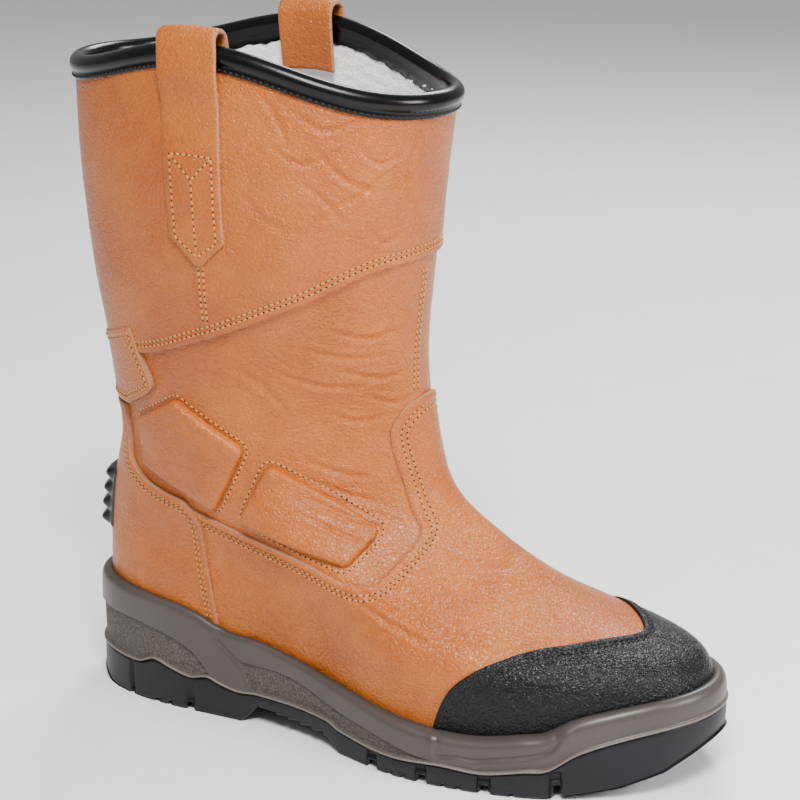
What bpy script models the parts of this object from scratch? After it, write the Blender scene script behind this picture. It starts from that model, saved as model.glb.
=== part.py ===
"""Right rigger boot: a pull-on safety boot with a lined leather shaft and a moulded two-part sole.

The boot stands empty on its sole. +X points to the toe, -Y to the outer side and +Z up, and the
origin lies on the ground under the middle of the boot. Lengths are in metres.
"""
import math

import bmesh
import bpy
from mathutils import Vector

MM = 0.001

# Sole
SOLE_LENGTH = 305 * MM
BALL_WIDTH = 110 * MM
HEEL_WIDTH = 81 * MM
TOE_SWING = 8 * MM           # sideways shift of the toe towards the inner side
INSOLE_THICKNESS = 4 * MM
INSOLE_GAP = 0.9 * MM
SHOULDER = 4 * MM            # height of the rounded edge under the midsole's lip
SHOULDER_INSET = 0.2 * MM
GROOVE_DEPTH = 4.5 * MM
GROOVE_WIDTH = 4 * MM
GROOVE_REACH = 24 * MM       # how far a side groove runs in under the foot
RIM_WIDTH = 6 * MM           # edge of the outsole that wraps the midsole
LIP_THICKNESS = 1.6 * MM     # top edge of the midsole
BAND_STEP = 1.2 * MM         # depth of the line between the two bands of the midsole

# Upper
INSTEP_HEIGHT = 130 * MM     # ground to the throat, where foot turns into leg
BOOT_HEIGHT = 294 * MM       # ground to the collar at the back
SHAFT_DEPTH = 160 * MM       # front to back at the collar
SHAFT_WIDTH = 112 * MM       # side to side at the collar
SHAFT_AXIS = 80 * MM         # from the heel to the middle of the shaft
WALL = 2.4 * MM
PANEL = 1.6 * MM             # leather panels sewn over the upper
TOE_CAP_THICKNESS = 2.2 * MM
PAD_THICKNESS = 4.2 * MM
CLEAR = 0.3 * MM             # between pieces that touch

# Trim
BINDING_DEPTH = 9 * MM
BINDING_THICKNESS = 1.5 * MM
STRAP_WIDTH = 25 * MM
STRAP_THICKNESS = 2 * MM
STRAP_DROP = 99 * MM         # from the top of the loop to the outer tip
STRAP_TAIL = 30 * MM         # from the top of the loop to the inner end
STRAP_LOOP = 5 * MM          # how far the loop stands over the collar
BINDING_GAP = 0.6 * MM       # between the binding and the edge that it wraps
BINDING_CROWN = 3 * MM       # rise of the binding's rolled top
STRAP_POINT = 12 * MM        # length of a strap's pointed tip
STRAP_TIP = 0.08             # width left at the tip
STRAP_ALONG = 0.478          # place of the straps from the back of the collar to its front
STRAP_SLANT = 0.034          # how far a strap leans forward over a drop of its own length
SPUR_WIDTH = 40 * MM
SPUR_THICKNESS = 5 * MM
SPUR_RIBS = 4
SPUR_LOW = 0.570             # lower and upper end of the spur as shares of the instep height
SPUR_HIGH = 0.793
SPUR_EDGE = 0.35             # how far the spur's side edges stand out, as a share of its middle

# Places along the foot, from the heel at 0 to the toe at 1
HEEL_END = 0.25              # where the sole leaves the heel's width
BALL_START = 0.60            # where it reaches the ball's width
SWING_START = 0.35           # where the middle line turns to the inner side
PINCH_END = 0.95             # where the instep is drawn in most

# How the foot's form fades into the leg's
FOOT_FADE = 0.22             # share of the foot's outline left in the lowest loop of the leg
LEG_PINCH = 0.36             # how much the front of that loop is drawn in
LEG_ROUND = 0.92             # below 1 the leg's loops are a little squarer than an ellipse
FADE_HEIGHT = 0.5            # where the fade ends, as a share from the instep to the collar

# Fineness
POINTS_PER_SIDE = 15
STATIONS_AT_MOST = 83        # how many would fit along the sole at their least distance
BINDING_STEPS = 4            # around the binding's rolled top
STRAP_LOOP_STEPS = 6         # around a strap's loop
STRAP_COLUMNS = 5
SPUR_COLUMNS = 9
SLOPE_STEPS = 250            # per unit of t and of the foot's length, for slopes of the form
SHARP_ANGLE = math.radians(35)

# What follows from the sizes above, as distances from the outer face of the panels
FORM_DEPTH = PANEL + CLEAR                        # outer face of the upper itself
LINING_DEPTH = FORM_DEPTH + WALL                  # inner face of the upper
CUP_GAP = CLEAR + TOE_CAP_THICKNESS - PANEL       # inner face of the midsole's wall
BINDING_OUT = BINDING_GAP + BINDING_THICKNESS     # outer face of the collar binding
BINDING_IN = LINING_DEPTH + BINDING_OUT

# Half-widths of the sole's outline as shares of half the heel or ball width, made fuller at both
# ends, where the outline is rounded off.
OUTLINE_COLUMNS = ("along", "outer", "inner")
OUTLINE = (
    (0.00, 1.80, 1.80),
    (0.10, 1.46, 1.46),
    (0.25, 1.12, 1.10),
    (0.42, 0.93, 0.72),
    (0.64, 1.16, 0.80),
    (0.80, 1.26, 1.06),
    (0.93, 1.27, 1.24),
    (1.00, 1.32, 1.30),
)

# Heights along the sole as shares of half the heel width: top edge of the midsole, line between
# its bands, bed that carries the upper, outer edge of the joint between midsole and outsole, the
# same joint inside its rim, and underside of the tread.
SOLE_COLUMNS = ("along", "lip", "band", "bed", "joint", "core", "tread")
SOLE_HEIGHTS = (
    (0.00, 1.33, 0.97, 0.86, 0.45, 0.40, 0.14),
    (0.05, 1.34, 0.95, 0.86, 0.45, 0.39, 0.00),
    (0.12, 1.30, 0.94, 0.85, 0.44, 0.38, 0.00),
    (0.15, 1.28, 0.92, 0.84, 0.52, 0.37, 0.00),
    (0.18, 1.25, 0.87, 0.83, 0.46, 0.36, 0.00),
    (0.215, 1.19, 0.76, 0.80, 0.40, 0.35, 0.00),
    (0.245, 1.10, 0.64, 0.78, 0.44, 0.34, 0.00),
    (0.27, 1.03, 0.68, 0.76, 0.38, 0.33, 0.00),
    (0.30, 1.01, 0.72, 0.74, 0.34, 0.31, 0.00),
    (0.33, 0.99, 0.70, 0.71, 0.36, 0.31, 0.22),
    (0.46, 0.80, 0.52, 0.60, 0.33, 0.27, 0.18),
    (0.485, 0.77, 0.46, 0.58, 0.27, 0.23, 0.00),
    (0.58, 0.65, 0.36, 0.53, 0.21, 0.18, 0.00),
    (0.66, 0.59, 0.34, 0.49, 0.24, 0.18, 0.00),
    (0.72, 0.60, 0.34, 0.48, 0.22, 0.18, 0.00),
    (0.78, 0.67, 0.42, 0.50, 0.29, 0.20, 0.00),
    (0.81, 0.71, 0.47, 0.52, 0.32, 0.24, 0.02),
    (0.85, 0.87, 0.65, 0.56, 0.52, 0.31, 0.07),
    (0.90, 0.97, 0.78, 0.62, 0.66, 0.40, 0.14),
    (0.95, 1.04, 0.86, 0.70, 0.75, 0.50, 0.28),
    (1.00, 1.09, 0.92, 0.78, 0.81, 0.66, 0.55),
)

# Side grooves of the tread: place along the sole and width as a share of GROOVE_WIDTH
GROOVE_COLUMNS = ("along", "width")
SIDE_GROOVES = (
    (0.108, 0.8),
    (0.166, 1.5),
    (0.213, 1.3),
    (0.552, 1.6),
    (0.632, 1.4),
    (0.726, 1.7),
    (0.777, 1.9),
    (0.826, 1.0),
)
CENTRE_GROOVES = (0.08, 0.19, 0.53, 0.59, 0.68, 0.75, 0.80)
ARCH_TEETH = 6
ARCH_FROM = 0.345
ARCH_TO = 0.455
TOOTH_DEPTH = 2.2 * MM

# Outlines of the sewn-on pieces seen from the side: x as shares of the sole's length from the
# heel, z as shares of the instep height.
COUNTER_SEAM = ((0.266, 0.10), (0.260, 0.31), (0.252, 0.46), (0.241, 0.58), (0.238, 0.68),
                (0.230, 0.735), (0.210, 0.78))
COUNTER_TOP = ((0.166, 0.80), (0.127, 0.838), (0.104, 0.887), (0.097, 0.99), (0.097, 1.08))
VAMP_TOP = ((0.306, 0.705), (0.410, 0.655), (0.485, 0.608), (0.515, 0.608), (0.533, 0.625),
            (0.559, 0.72), (0.561, 0.745), (0.541, 0.815), (0.525, 0.91), (0.512, 1.02),
            (0.512, 1.095), (0.545, 1.19), (0.70, 1.24))
TOE_EDGE = ((0.632, 0.08), (0.647, 0.25), (0.666, 0.332), (0.695, 0.398), (0.730, 0.437),
            (0.767, 0.462), (0.81, 0.474), (0.868, 0.482), (0.872, 0.75))
PAD_REAR = ((0.134, 1.058), (0.216, 1.164), (0.324, 1.015), (0.271, 0.772), (0.139, 0.885))
PAD_FRONT = ((0.355, 0.970), (0.511, 0.765), (0.507, 0.734), (0.482, 0.649), (0.313, 0.752))

# The same for the leg: x as shares of the shaft's depth from its axis, z as shares of the height
# from the instep to the collar.
LEG_EDGE = ((-0.90, 0.13), (-0.188, 0.247), (0.038, 0.322), (0.33, 0.442), (0.515, 0.53),
            (0.90, 0.58))
BACK_STAY = ((-0.90, 0.08), (-0.228, 0.315), (-0.20, 0.238), (-0.166, 0.158), (-0.174, 0.138),
             (-0.28, 0.075), (-0.90, 0.06))

# Loops of the foot: back and front end as shares of the sole's length and the instep height,
# widths as shares of the sole's outline and of the shaft, how much the front is drawn in, and
# how far the loop follows the sole's bed.
FOOT_COLUMNS = ("back_x", "back_z", "front_x", "front_z", "foot", "leg", "pinch", "bed")
FOOT_LOOPS = (
    (0.024, 0.268, 0.975, 0.262, 0.86, 0.00, 0.00, 1.0),
    (0.019, 0.40, 0.975, 0.345, 0.89, 0.00, 0.00, 0.8),
    (0.020, 0.52, 0.952, 0.410, 0.86, 0.04, 0.03, 0.4),
    (0.022, 0.63, 0.892, 0.455, 0.76, 0.10, 0.12, 0.1),
    (0.028, 0.72, 0.801, 0.520, 0.62, 0.24, 0.26, 0.0),
    (0.036, 0.80, 0.706, 0.625, 0.46, 0.40, 0.36, 0.0),
    (0.044, 0.88, 0.620, 0.750, 0.31, 0.53, 0.38, 0.0),
)

# Loops of the leg: height from the instep to the collar, back and front from the shaft's axis as
# shares of its depth, width as a share of its width, rise of the sides over the ends as a share
# of its width, and the front end's height over the back end's.
LEG_COLUMNS = ("height", "back", "front", "width", "rise", "tilt")
LEG_LOOPS = (
    (-0.02, -0.403, 0.590, 0.78, 0.00, -0.08),
    (0.10, -0.412, 0.545, 0.85, 0.00, -0.02),
    (0.26, -0.435, 0.530, 0.92, 0.00, 0.01),
    (0.48, -0.472, 0.550, 0.98, 0.00, 0.02),
    (0.74, -0.498, 0.575, 1.00, 0.02, 0.00),
    (1.00, -0.515, 0.610, 0.94, 0.15, -0.04),
)

# One rib of the heel spur: height as a share of the rib, and how far it stands out as a share of
# the spur's thickness.
RIB_COLUMNS = ("height", "out")
SPUR_RIB = (
    (0.12, 0.45),
    (0.45, 1.00),
    (0.85, 0.80),
)

# Stops down a pull strap's outer side, as shares of its drop
STRAP_STOPS = (0.62, 0.42, 0.25)
STRAP_ROUND = 0.6            # below 1 the strap's loop is squarer than an arch


def ease(value, start, end):
    """Ease from 0 at the start to 1 at the end, with level ends."""
    share = min(max((value - start) / (end - start), 0.0), 1.0)
    return share * share * (3 - 2 * share)


def curve_through(places, values, place):
    """Read a smooth curve through the values at the places."""
    if place <= places[0]:
        return values[0]
    if place >= places[-1]:
        return values[-1]
    after = next(i for i, known in enumerate(places) if known > place)
    before = after - 1

    def slope(i):
        low = max(i - 1, 0)
        high = min(i + 1, len(places) - 1)
        return (values[high] - values[low]) / (places[high] - places[low])

    span = places[after] - places[before]
    t = (place - places[before]) / span
    return (
        (2 * t ** 3 - 3 * t ** 2 + 1) * values[before]
        + (t ** 3 - 2 * t ** 2 + t) * span * slope(before)
        + (-2 * t ** 3 + 3 * t ** 2) * values[after]
        + (t ** 3 - t ** 2) * span * slope(after)
    )


def line_through(places, values, place):
    """Read straight runs between the values at the places."""
    if place <= places[0]:
        return values[0]
    for low, high, first, second in zip(places, places[1:], values, values[1:]):
        if place <= high:
            return first + (second - first) * (place - low) / (high - low)
    return values[-1]


def column(table, names, name):
    """Take one named column out of a table."""
    index = names.index(name)
    return [row[index] for row in table]


def sole_base(along):
    """Half of the heel width, turning into half of the ball width."""
    return (HEEL_WIDTH + (BALL_WIDTH - HEEL_WIDTH) * ease(along, HEEL_END, BALL_START)) / 2


def end_rounding(along):
    """Rounding of a closed outline at its two ends."""
    return 2 * math.sqrt(max(along * (1 - along), 0.0))


def sole_half_width(along, side):
    """Half-width of the sole, from its middle line to the outer or inner side."""
    places = column(OUTLINE, OUTLINE_COLUMNS, "along")
    shares = column(OUTLINE, OUTLINE_COLUMNS, side)
    return sole_base(along) * curve_through(places, shares, along) * end_rounding(along)


def middle_line(along):
    """Sideways place of the foot's middle line."""
    return TOE_SWING * ease(along, SWING_START, 1.0)


def sole_height(along, name):
    """Height of one of the sole's lines."""
    places = column(SOLE_HEIGHTS, SOLE_COLUMNS, "along")
    shares = column(SOLE_HEIGHTS, SOLE_COLUMNS, name)
    return HEEL_WIDTH / 2 * line_through(places, shares, along)


def bed_sag(along):
    """How far the sole's bed lies under a straight line from heel to toe."""
    straight = sole_height(0, "bed") * (1 - along) + sole_height(1, "bed") * along
    return sole_height(along, "bed") - straight


def loop_rows():
    """The upper's loops in metres, foot first, then leg."""
    rows = []
    for back_x, back_z, front_x, front_z, foot, leg, pinch, bed in FOOT_LOOPS:
        rows.append((
            back_x * SOLE_LENGTH, back_z * INSTEP_HEIGHT,
            front_x * SOLE_LENGTH, front_z * INSTEP_HEIGHT,
            foot, leg * SHAFT_WIDTH / 2, pinch, bed, 0.0, 1.0,
        ))
    lowest = LEG_LOOPS[0][0]
    for height, back, front, width, rise, tilt in LEG_LOOPS:
        back_z = INSTEP_HEIGHT + height * (BOOT_HEIGHT - INSTEP_HEIGHT)
        swing = 1.0 - ease(height, lowest, FADE_HEIGHT)
        foot = FOOT_FADE * swing ** 2
        rows.append((
            SHAFT_AXIS + back * SHAFT_DEPTH, back_z,
            SHAFT_AXIS + front * SHAFT_DEPTH, back_z + tilt * SHAFT_DEPTH,
            foot, width * SHAFT_WIDTH / 2 * (1 - foot),
            LEG_PINCH * swing, 0.0, rise * SHAFT_WIDTH, swing,
        ))
    return rows


LOOPS = loop_rows()
FOOT_T = [i / 2 / (len(LOOPS) - 1) for i in range(2 * len(FOOT_LOOPS))]
LEG_T = [i / (len(LOOPS) - 1) for i in range(len(FOOT_LOOPS), len(LOOPS))]
T_VALUES = FOOT_T + LEG_T


def loop_at(t):
    """The upper's loop at t, from 0 at the sole to 1 at the collar."""
    places = list(range(len(LOOPS)))
    place = t * places[-1]
    return [curve_through(places, [row[i] for row in LOOPS], place) for i in range(len(LOOPS[0]))]


def side_name(side):
    """Name of a side: -1 is the outer side and 1 the inner side."""
    return "outer" if side < 0 else "inner"


def upper_point(t, along, side):
    """Point on the form of the upper, which is the outer face of its sewn-on panels."""
    back_x, back_z, front_x, front_z, foot, leg, pinch, bed, rise, swing = loop_at(t)
    width = foot * sole_half_width(along, side_name(side)) + leg * end_rounding(along) ** LEG_ROUND
    width *= 1 - pinch * ease(along, SWING_START, PINCH_END)
    x = back_x + (front_x - back_x) * along
    y = middle_line(along) * swing + side * width
    z = back_z + (front_z - back_z) * along + rise * math.sin(math.pi * along) ** 2
    return Vector((x, y, z + bed * bed_sag(along)))


def along_steps(count):
    """Shares from back to front, closer together at both ends."""
    return [(1 - math.cos(math.pi * i / count)) / 2 for i in range(count + 1)]


def loop_points(point, steps):
    """Closed loop of points: outer side from back to front, then inner side back again."""
    outer = [point(along, -1) for along in steps]
    inner = [point(along, 1) for along in reversed(steps[1:-1])]
    return outer + inner


def upper_grid(t_values):
    """Loops of the upper at the given heights."""
    steps = along_steps(POINTS_PER_SIDE)
    return [loop_points(lambda along, side, t=t: upper_point(t, along, side), steps) for t in t_values]


def grid_normals(grid):
    """Unit normals of a tube of loops, pointing outwards."""
    count = len(grid[0])
    normals = []
    for i, loop in enumerate(grid):
        above = grid[min(i + 1, len(grid) - 1)]
        below = grid[max(i - 1, 0)]
        row = []
        for k in range(count):
            around = loop[(k + 1) % count] - loop[k - 1]
            row.append(around.cross(above[k] - below[k]).normalized())
        normals.append(row)
    return normals


def new_mesh(name, points, faces):
    """Make a mesh from points and faces, with its faces turned outwards."""
    mesh = bpy.data.meshes.new(name)
    mesh.from_pydata([tuple(p) for p in points], [], faces)
    body = bmesh.new()
    body.from_mesh(mesh)
    bmesh.ops.recalc_face_normals(body, faces=body.faces)
    if body.calc_volume(signed=True) < 0:
        bmesh.ops.reverse_faces(body, faces=body.faces)
    bmesh.ops.triangulate(body, faces=body.faces, quad_method="FIXED")
    body.to_mesh(mesh)
    body.free()
    return mesh


def tube_faces(loops, count, closed=False):
    """Faces between neighbouring loops of a tube; closed joins the last loop to the first."""
    faces = []
    for i in range(loops if closed else loops - 1):
        j = (i + 1) % loops
        for k in range(count):
            m = (k + 1) % count
            faces.append((i * count + k, i * count + m, j * count + m, j * count + k))
    return faces


def ladder_faces(start, steps):
    """Faces that close a loop of points with rungs from its outer to its inner side."""
    count = 2 * (steps - 1)
    faces = [(start, start + 1, start + count - 1)]
    for k in range(1, steps - 2):
        faces.append((start + k, start + k + 1, start + count - k - 1, start + count - k))
    faces.append((start + steps - 2, start + steps - 1, start + steps))
    return faces


def tube(name, grid):
    """Solid tube through a closed row of loops: the last loop joins the first."""
    points = [p for loop in grid for p in loop]
    return new_mesh(name, points, tube_faces(len(grid), len(grid[0]), closed=True))


def wall_between(name, t_values, inside, outside):
    """Wall around the upper's form between two offsets from it, both split into like triangles."""
    grid = upper_grid(t_values)
    normals = grid_normals(grid)
    points = [
        p + n * distance
        for distance in (outside, inside)
        for loop, row in zip(grid, normals)
        for p, n in zip(loop, row)
    ]
    count = len(grid[0])
    size = count * len(grid)
    top = size - count
    faces = []
    for i in range(len(grid) - 1):
        for k in range(count):
            here = i * count + k
            beside = i * count + (k + 1) % count
            for face in ((here, beside, beside + count), (here, beside + count, here + count)):
                faces.append(face)
                faces.append(tuple(size + corner for corner in reversed(face)))
    for k in range(count):
        m = (k + 1) % count
        faces.append((m, k, k + size, m + size))
        faces.append((k + top, m + top, m + top + size, k + top + size))
    return new_mesh(name, points, faces)


def material(name, colour, roughness, metallic=0.0):
    """Plain Principled material."""
    made = bpy.data.materials.new(name)
    made.use_nodes = True
    shader = made.node_tree.nodes["Principled BSDF"]
    shader.inputs["Base Color"].default_value = (*colour, 1.0)
    shader.inputs["Roughness"].default_value = roughness
    shader.inputs["Metallic"].default_value = metallic
    return made


class Boot:
    """Collections, parent and materials of the boot."""

    def __init__(self):
        self.parts = bpy.data.collections.new("rigger_boot")
        self.cutters = bpy.data.collections.new("rigger_boot_cutters")
        bpy.context.scene.collection.children.link(self.parts)
        bpy.context.scene.collection.children.link(self.cutters)
        self.root = bpy.data.objects.new("boot_origin", None)
        self.parts.objects.link(self.root)

    def add(self, name, mesh, finish):
        """Add a sub-part with its own material."""
        obj = bpy.data.objects.new(name, mesh)
        mesh.materials.append(finish)
        mesh.shade_smooth()
        mesh.set_sharp_from_angle(angle=SHARP_ANGLE)
        obj.parent = self.root
        self.parts.objects.link(obj)
        return obj

    def cutter(self, name, mesh):
        """Add a cutter that the build leaves out."""
        obj = bpy.data.objects.new(name, mesh)
        obj.parent = self.root
        obj.hide_render = True
        obj.display_type = "WIRE"
        self.cutters.objects.link(obj)
        return obj


def boolean(obj, cutter, operation):
    """Cut or keep with another object."""
    modifier = obj.modifiers.new(operation.lower(), "BOOLEAN")
    modifier.operation = operation
    modifier.object = cutter
    return modifier


def side_prism(name, outline, low, high):
    """Solid of a side-view outline, given as x and z, drawn across the boot from low to high y."""
    points = [(x, low, z) for x, z in outline] + [(x, high, z) for x, z in outline]
    count = len(outline)
    faces = [tuple(range(count)), tuple(range(2 * count - 1, count - 1, -1))]
    for k in range(count):
        m = (k + 1) % count
        faces.append((k, m, m + count, k + count))
    return new_mesh(name, points, faces)


def foot_outline(shares):
    """Side-view outline in metres from shares of the foot's sizes."""
    return [(x * SOLE_LENGTH, z * INSTEP_HEIGHT) for x, z in shares]


def leg_outline(shares):
    """Side-view outline in metres from shares of the leg's sizes."""
    span = BOOT_HEIGHT - INSTEP_HEIGHT
    return [(SHAFT_AXIS + x * SHAFT_DEPTH, INSTEP_HEIGHT + z * span) for x, z in shares]


def grown(outline, distance):
    """Outline moved outwards by a distance, or inwards by a negative one."""
    area = sum(a[0] * b[1] - b[0] * a[1] for a, b in zip(outline, outline[1:] + outline[:1]))
    turn = distance if area > 0 else -distance
    moved = []
    for k, here in enumerate(outline):
        before = Vector(here) - Vector(outline[k - 1])
        after = Vector(outline[(k + 1) % len(outline)]) - Vector(here)
        first = Vector((before.y, -before.x)).normalized()
        second = Vector((after.y, -after.x)).normalized()
        corner = (first + second) / (1 + first.dot(second))
        moved.append((here[0] + corner.x * turn, here[1] + corner.y * turn))
    return moved


def level_at(along, side, height, low=0.0, high=1.0):
    """Value of t where the upper's form reaches a height."""
    for _ in range(24):
        middle = (low + high) / 2
        if upper_point(middle, along, side).z < height:
            low = middle
        else:
            high = middle
    return (low + high) / 2


def form_normal(t, along, side):
    """Unit normal of the upper's form, pointing outwards."""
    def beside(place):
        if place < 0:
            return upper_point(t, -place, -side)
        if place > 1:
            return upper_point(t, 2 - place, -side)
        return upper_point(t, place, side)

    step = 1 / SLOPE_STEPS
    across = beside(along + step) - beside(along - step)
    above = upper_point(min(t + step, 1.0), along, side)
    below = upper_point(max(t - step, 0.0), along, side)
    return (across.cross(above - below) * -side).normalized()


def sole_loop(name, inset, lift=0.0):
    """Closed loop on the sole's outline, drawn in by an inset, at one of its lines."""
    def point(along, side):
        width = sole_half_width(along, side_name(side))
        width *= 1 - inset / sole_base(along)
        x = inset + (SOLE_LENGTH - 2 * inset) * along
        return Vector((x, middle_line(along) + side * width, sole_height(along, name) + lift))

    return loop_points(point, sole_steps())


def sole_steps():
    """Stations of the sole: those of the upper, and the rows of its heights that lie between them."""
    even = along_steps(POINTS_PER_SIDE)
    rows = column(SOLE_HEIGHTS, SOLE_COLUMNS, "along")
    between = [row for row in rows if min(abs(row - place) for place in even) * STATIONS_AT_MOST > 1]
    return sorted(even + between)


def cup_loop(share, distance, drop=0.0):
    """Loop around the upper's foot at a share of the way from the bed to the lip."""
    def point(along, side):
        t = share * level_at(along, side, sole_height(along, "lip"), 0.0, 0.5)
        place = upper_point(t, along, side) + form_normal(t, along, side) * distance
        return place - Vector((0, 0, drop))

    return loop_points(point, sole_steps())


def solid_from_loops(name, loops):
    """Solid through loops from one end to the other, both ends closed by rungs."""
    count = len(loops[0])
    steps = count // 2 + 1
    points = [p for loop in loops for p in loop]
    faces = tube_faces(len(loops), count)
    faces += ladder_faces(0, steps) + ladder_faces((len(loops) - 1) * count, steps)
    return new_mesh(name, points, faces)


def make_upper(boot, finish):
    """Hollow upper with its real wall, open at the collar and underneath."""
    boot.add("upper", wall_between("upper", T_VALUES, -LINING_DEPTH, -FORM_DEPTH), finish)


def panel(boot, name, finish, outline, t_values, thickness=PANEL, base=-PANEL, half=None):
    """Piece of leather over the upper inside a side-view outline; half keeps one side only."""
    piece = boot.add(name, wall_between(name, t_values, base, base + thickness), finish)
    low = -SHAFT_WIDTH if half != 1 else 0.0
    high = SHAFT_WIDTH if half != -1 else 0.0
    keep = boot.cutter("keep_" + name, side_prism("keep_" + name, outline, low, high))
    boolean(piece, keep, "INTERSECT")
    return piece


def make_panels(boot, leather, trim):
    """Leg panel, vamp, counter, back stay, toe cap and ankle pads."""
    reach = 1.2 * SOLE_LENGTH
    gap = CLEAR / 2
    leg_edge = leg_outline(LEG_EDGE)
    top = BOOT_HEIGHT + SHAFT_WIDTH
    leg = panel(boot, "leg_panel", leather, leg_edge + [(reach, top), (-reach, top)], T_VALUES)
    stay = leg_outline(BACK_STAY)
    panel(boot, "back_stay", leather, grown(stay, -gap), T_VALUES, TOE_CAP_THICKNESS)
    stay_space = side_prism("stay_space", grown(stay, gap), -SHAFT_WIDTH, SHAFT_WIDTH)
    boolean(leg, boot.cutter("stay_space", stay_space), "DIFFERENCE")

    seam = foot_outline(COUNTER_SEAM)
    counter_top = foot_outline(COUNTER_TOP)
    stay_foot = min(z for _, z in stay) - CLEAR
    counter_top[-1] = (counter_top[-1][0], stay_foot)
    counter = seam + counter_top + [(-reach, stay_foot), (-reach, seam[0][1])]
    heel = panel(boot, "heel_counter", leather, grown(counter, -gap), T_VALUES)
    boolean(heel, boot.cutter("spur_space", spur_space()), "DIFFERENCE")

    toe = foot_outline(TOE_EDGE)
    vamp_top = foot_outline(VAMP_TOP)
    vamp = seam + vamp_top + [(reach, vamp_top[-1][1]), (reach, toe[-1][1])] + toe[::-1]
    panel(boot, "vamp", leather, grown(vamp, -gap), T_VALUES)
    cap = toe + [(reach, toe[-1][1]), (reach, toe[0][1])]
    panel(boot, "toe_cap", trim, grown(cap, -gap), FOOT_T, TOE_CAP_THICKNESS)

    for side in (-1, 1):
        for place, shares in (("rear", PAD_REAR), ("front", PAD_FRONT)):
            name = f"ankle_pad_{place}_{side_name(side)}"
            panel(boot, name, leather, foot_outline(shares), T_VALUES, PAD_THICKNESS, half=side)


def spur_rows():
    """Heights of the heel spur's rows and how far each stands out, as shares of its thickness."""
    low = SPUR_LOW * INSTEP_HEIGHT
    rise = (SPUR_HIGH - SPUR_LOW) * INSTEP_HEIGHT / SPUR_RIBS
    return [(low + (rib + height) * rise, out) for rib in range(SPUR_RIBS) for height, out in SPUR_RIB]


def spur_space():
    """Room for the heel spur in the counter."""
    half = SPUR_WIDTH / 2 + CLEAR
    reach = HEEL_END * SOLE_LENGTH
    low = SPUR_LOW * INSTEP_HEIGHT
    high = SPUR_HIGH * INSTEP_HEIGHT
    outline = [(-reach, low), (reach, low), (reach, high), (-reach, high)]
    return side_prism("spur_space", outline, -half, half)


def across_back(height, y):
    """Point and normal on the back of the form at a height and a distance from the middle."""
    side = -1 if y < 0 else 1
    low, high = 0.0, HEEL_END
    for _ in range(20):
        along = (low + high) / 2
        if abs(upper_point(level_at(along, side, height), along, side).y) < abs(y):
            low = along
        else:
            high = along
    t = level_at(along, side, height)
    return upper_point(t, along, side), form_normal(t, along, side)


def patch_solid(name, inner, outer):
    """Solid between two grids of points of the same size."""
    rows, count = len(inner), len(inner[0])
    points = [p for row in inner for p in row] + [p for row in outer for p in row]
    size = rows * count
    faces = []
    for i in range(rows - 1):
        for k in range(count - 1):
            a = i * count + k
            faces.append((a, a + 1, a + count + 1, a + count))
            faces.append((a + size, a + count + size, a + count + 1 + size, a + 1 + size))
    edge = [k for k in range(count)]
    edge += [i * count + count - 1 for i in range(1, rows)]
    edge += [(rows - 1) * count + k for k in range(count - 2, -1, -1)]
    edge += [i * count for i in range(rows - 2, 0, -1)]
    for here, there in zip(edge, edge[1:] + edge[:1]):
        faces.append((here, here + size, there + size, there))
    return new_mesh(name, points, faces)


def make_spur(boot, finish):
    """Ribbed rubber block on the back of the heel, for pushing the boot off."""
    inner, outer = [], []
    for height, share in spur_rows():
        inner_row, outer_row = [], []
        for k in range(SPUR_COLUMNS):
            across = 2 * k / (SPUR_COLUMNS - 1) - 1
            point, normal = across_back(height, across * SPUR_WIDTH / 2)
            flank = max(math.sqrt(1 - across ** 4), SPUR_EDGE)
            inner_row.append(point - normal * (FORM_DEPTH - CLEAR))
            outer_row.append(point + normal * SPUR_THICKNESS * share * flank)
        inner.append(inner_row)
        outer.append(outer_row)
    boot.add("heel_spur", patch_solid("heel_spur", inner, outer), finish)


def make_binding(boot, finish):
    """Rolled binding over the collar's edge."""
    middle = (BINDING_OUT - BINDING_IN) / 2
    half = (BINDING_OUT + BINDING_IN) / 2
    profile = [(BINDING_OUT, -BINDING_DEPTH)]
    for k in range(BINDING_STEPS + 1):
        angle = math.pi * k / BINDING_STEPS
        crown = BINDING_GAP + BINDING_CROWN * math.sin(angle)
        profile.append((middle + half * math.cos(angle), crown))
    inner_face = -LINING_DEPTH - BINDING_GAP
    profile += [
        (-BINDING_IN, -BINDING_DEPTH), (inner_face, -BINDING_DEPTH), (inner_face, BINDING_GAP),
        (BINDING_GAP, BINDING_GAP), (BINDING_GAP, -BINDING_DEPTH),
    ]
    steps = along_steps(POINTS_PER_SIDE)
    loops = []
    for out, up in profile:
        loops.append(loop_points(lambda a, side, out=out, up=up: collar_point(a, side, out, up), steps))
    boot.add("collar_binding", tube("collar_binding", loops), finish)


def collar_point(along, side, out, up):
    """Point at a distance out from the form and a height over the collar's edge."""
    rim = upper_point(1.0, along, side)
    if up < 0:
        t = level_at(along, side, rim.z + up)
        return upper_point(t, along, side) + form_normal(t, along, side) * out
    return rim + form_normal(1.0, along, side) * out + Vector((0, 0, up))


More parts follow.
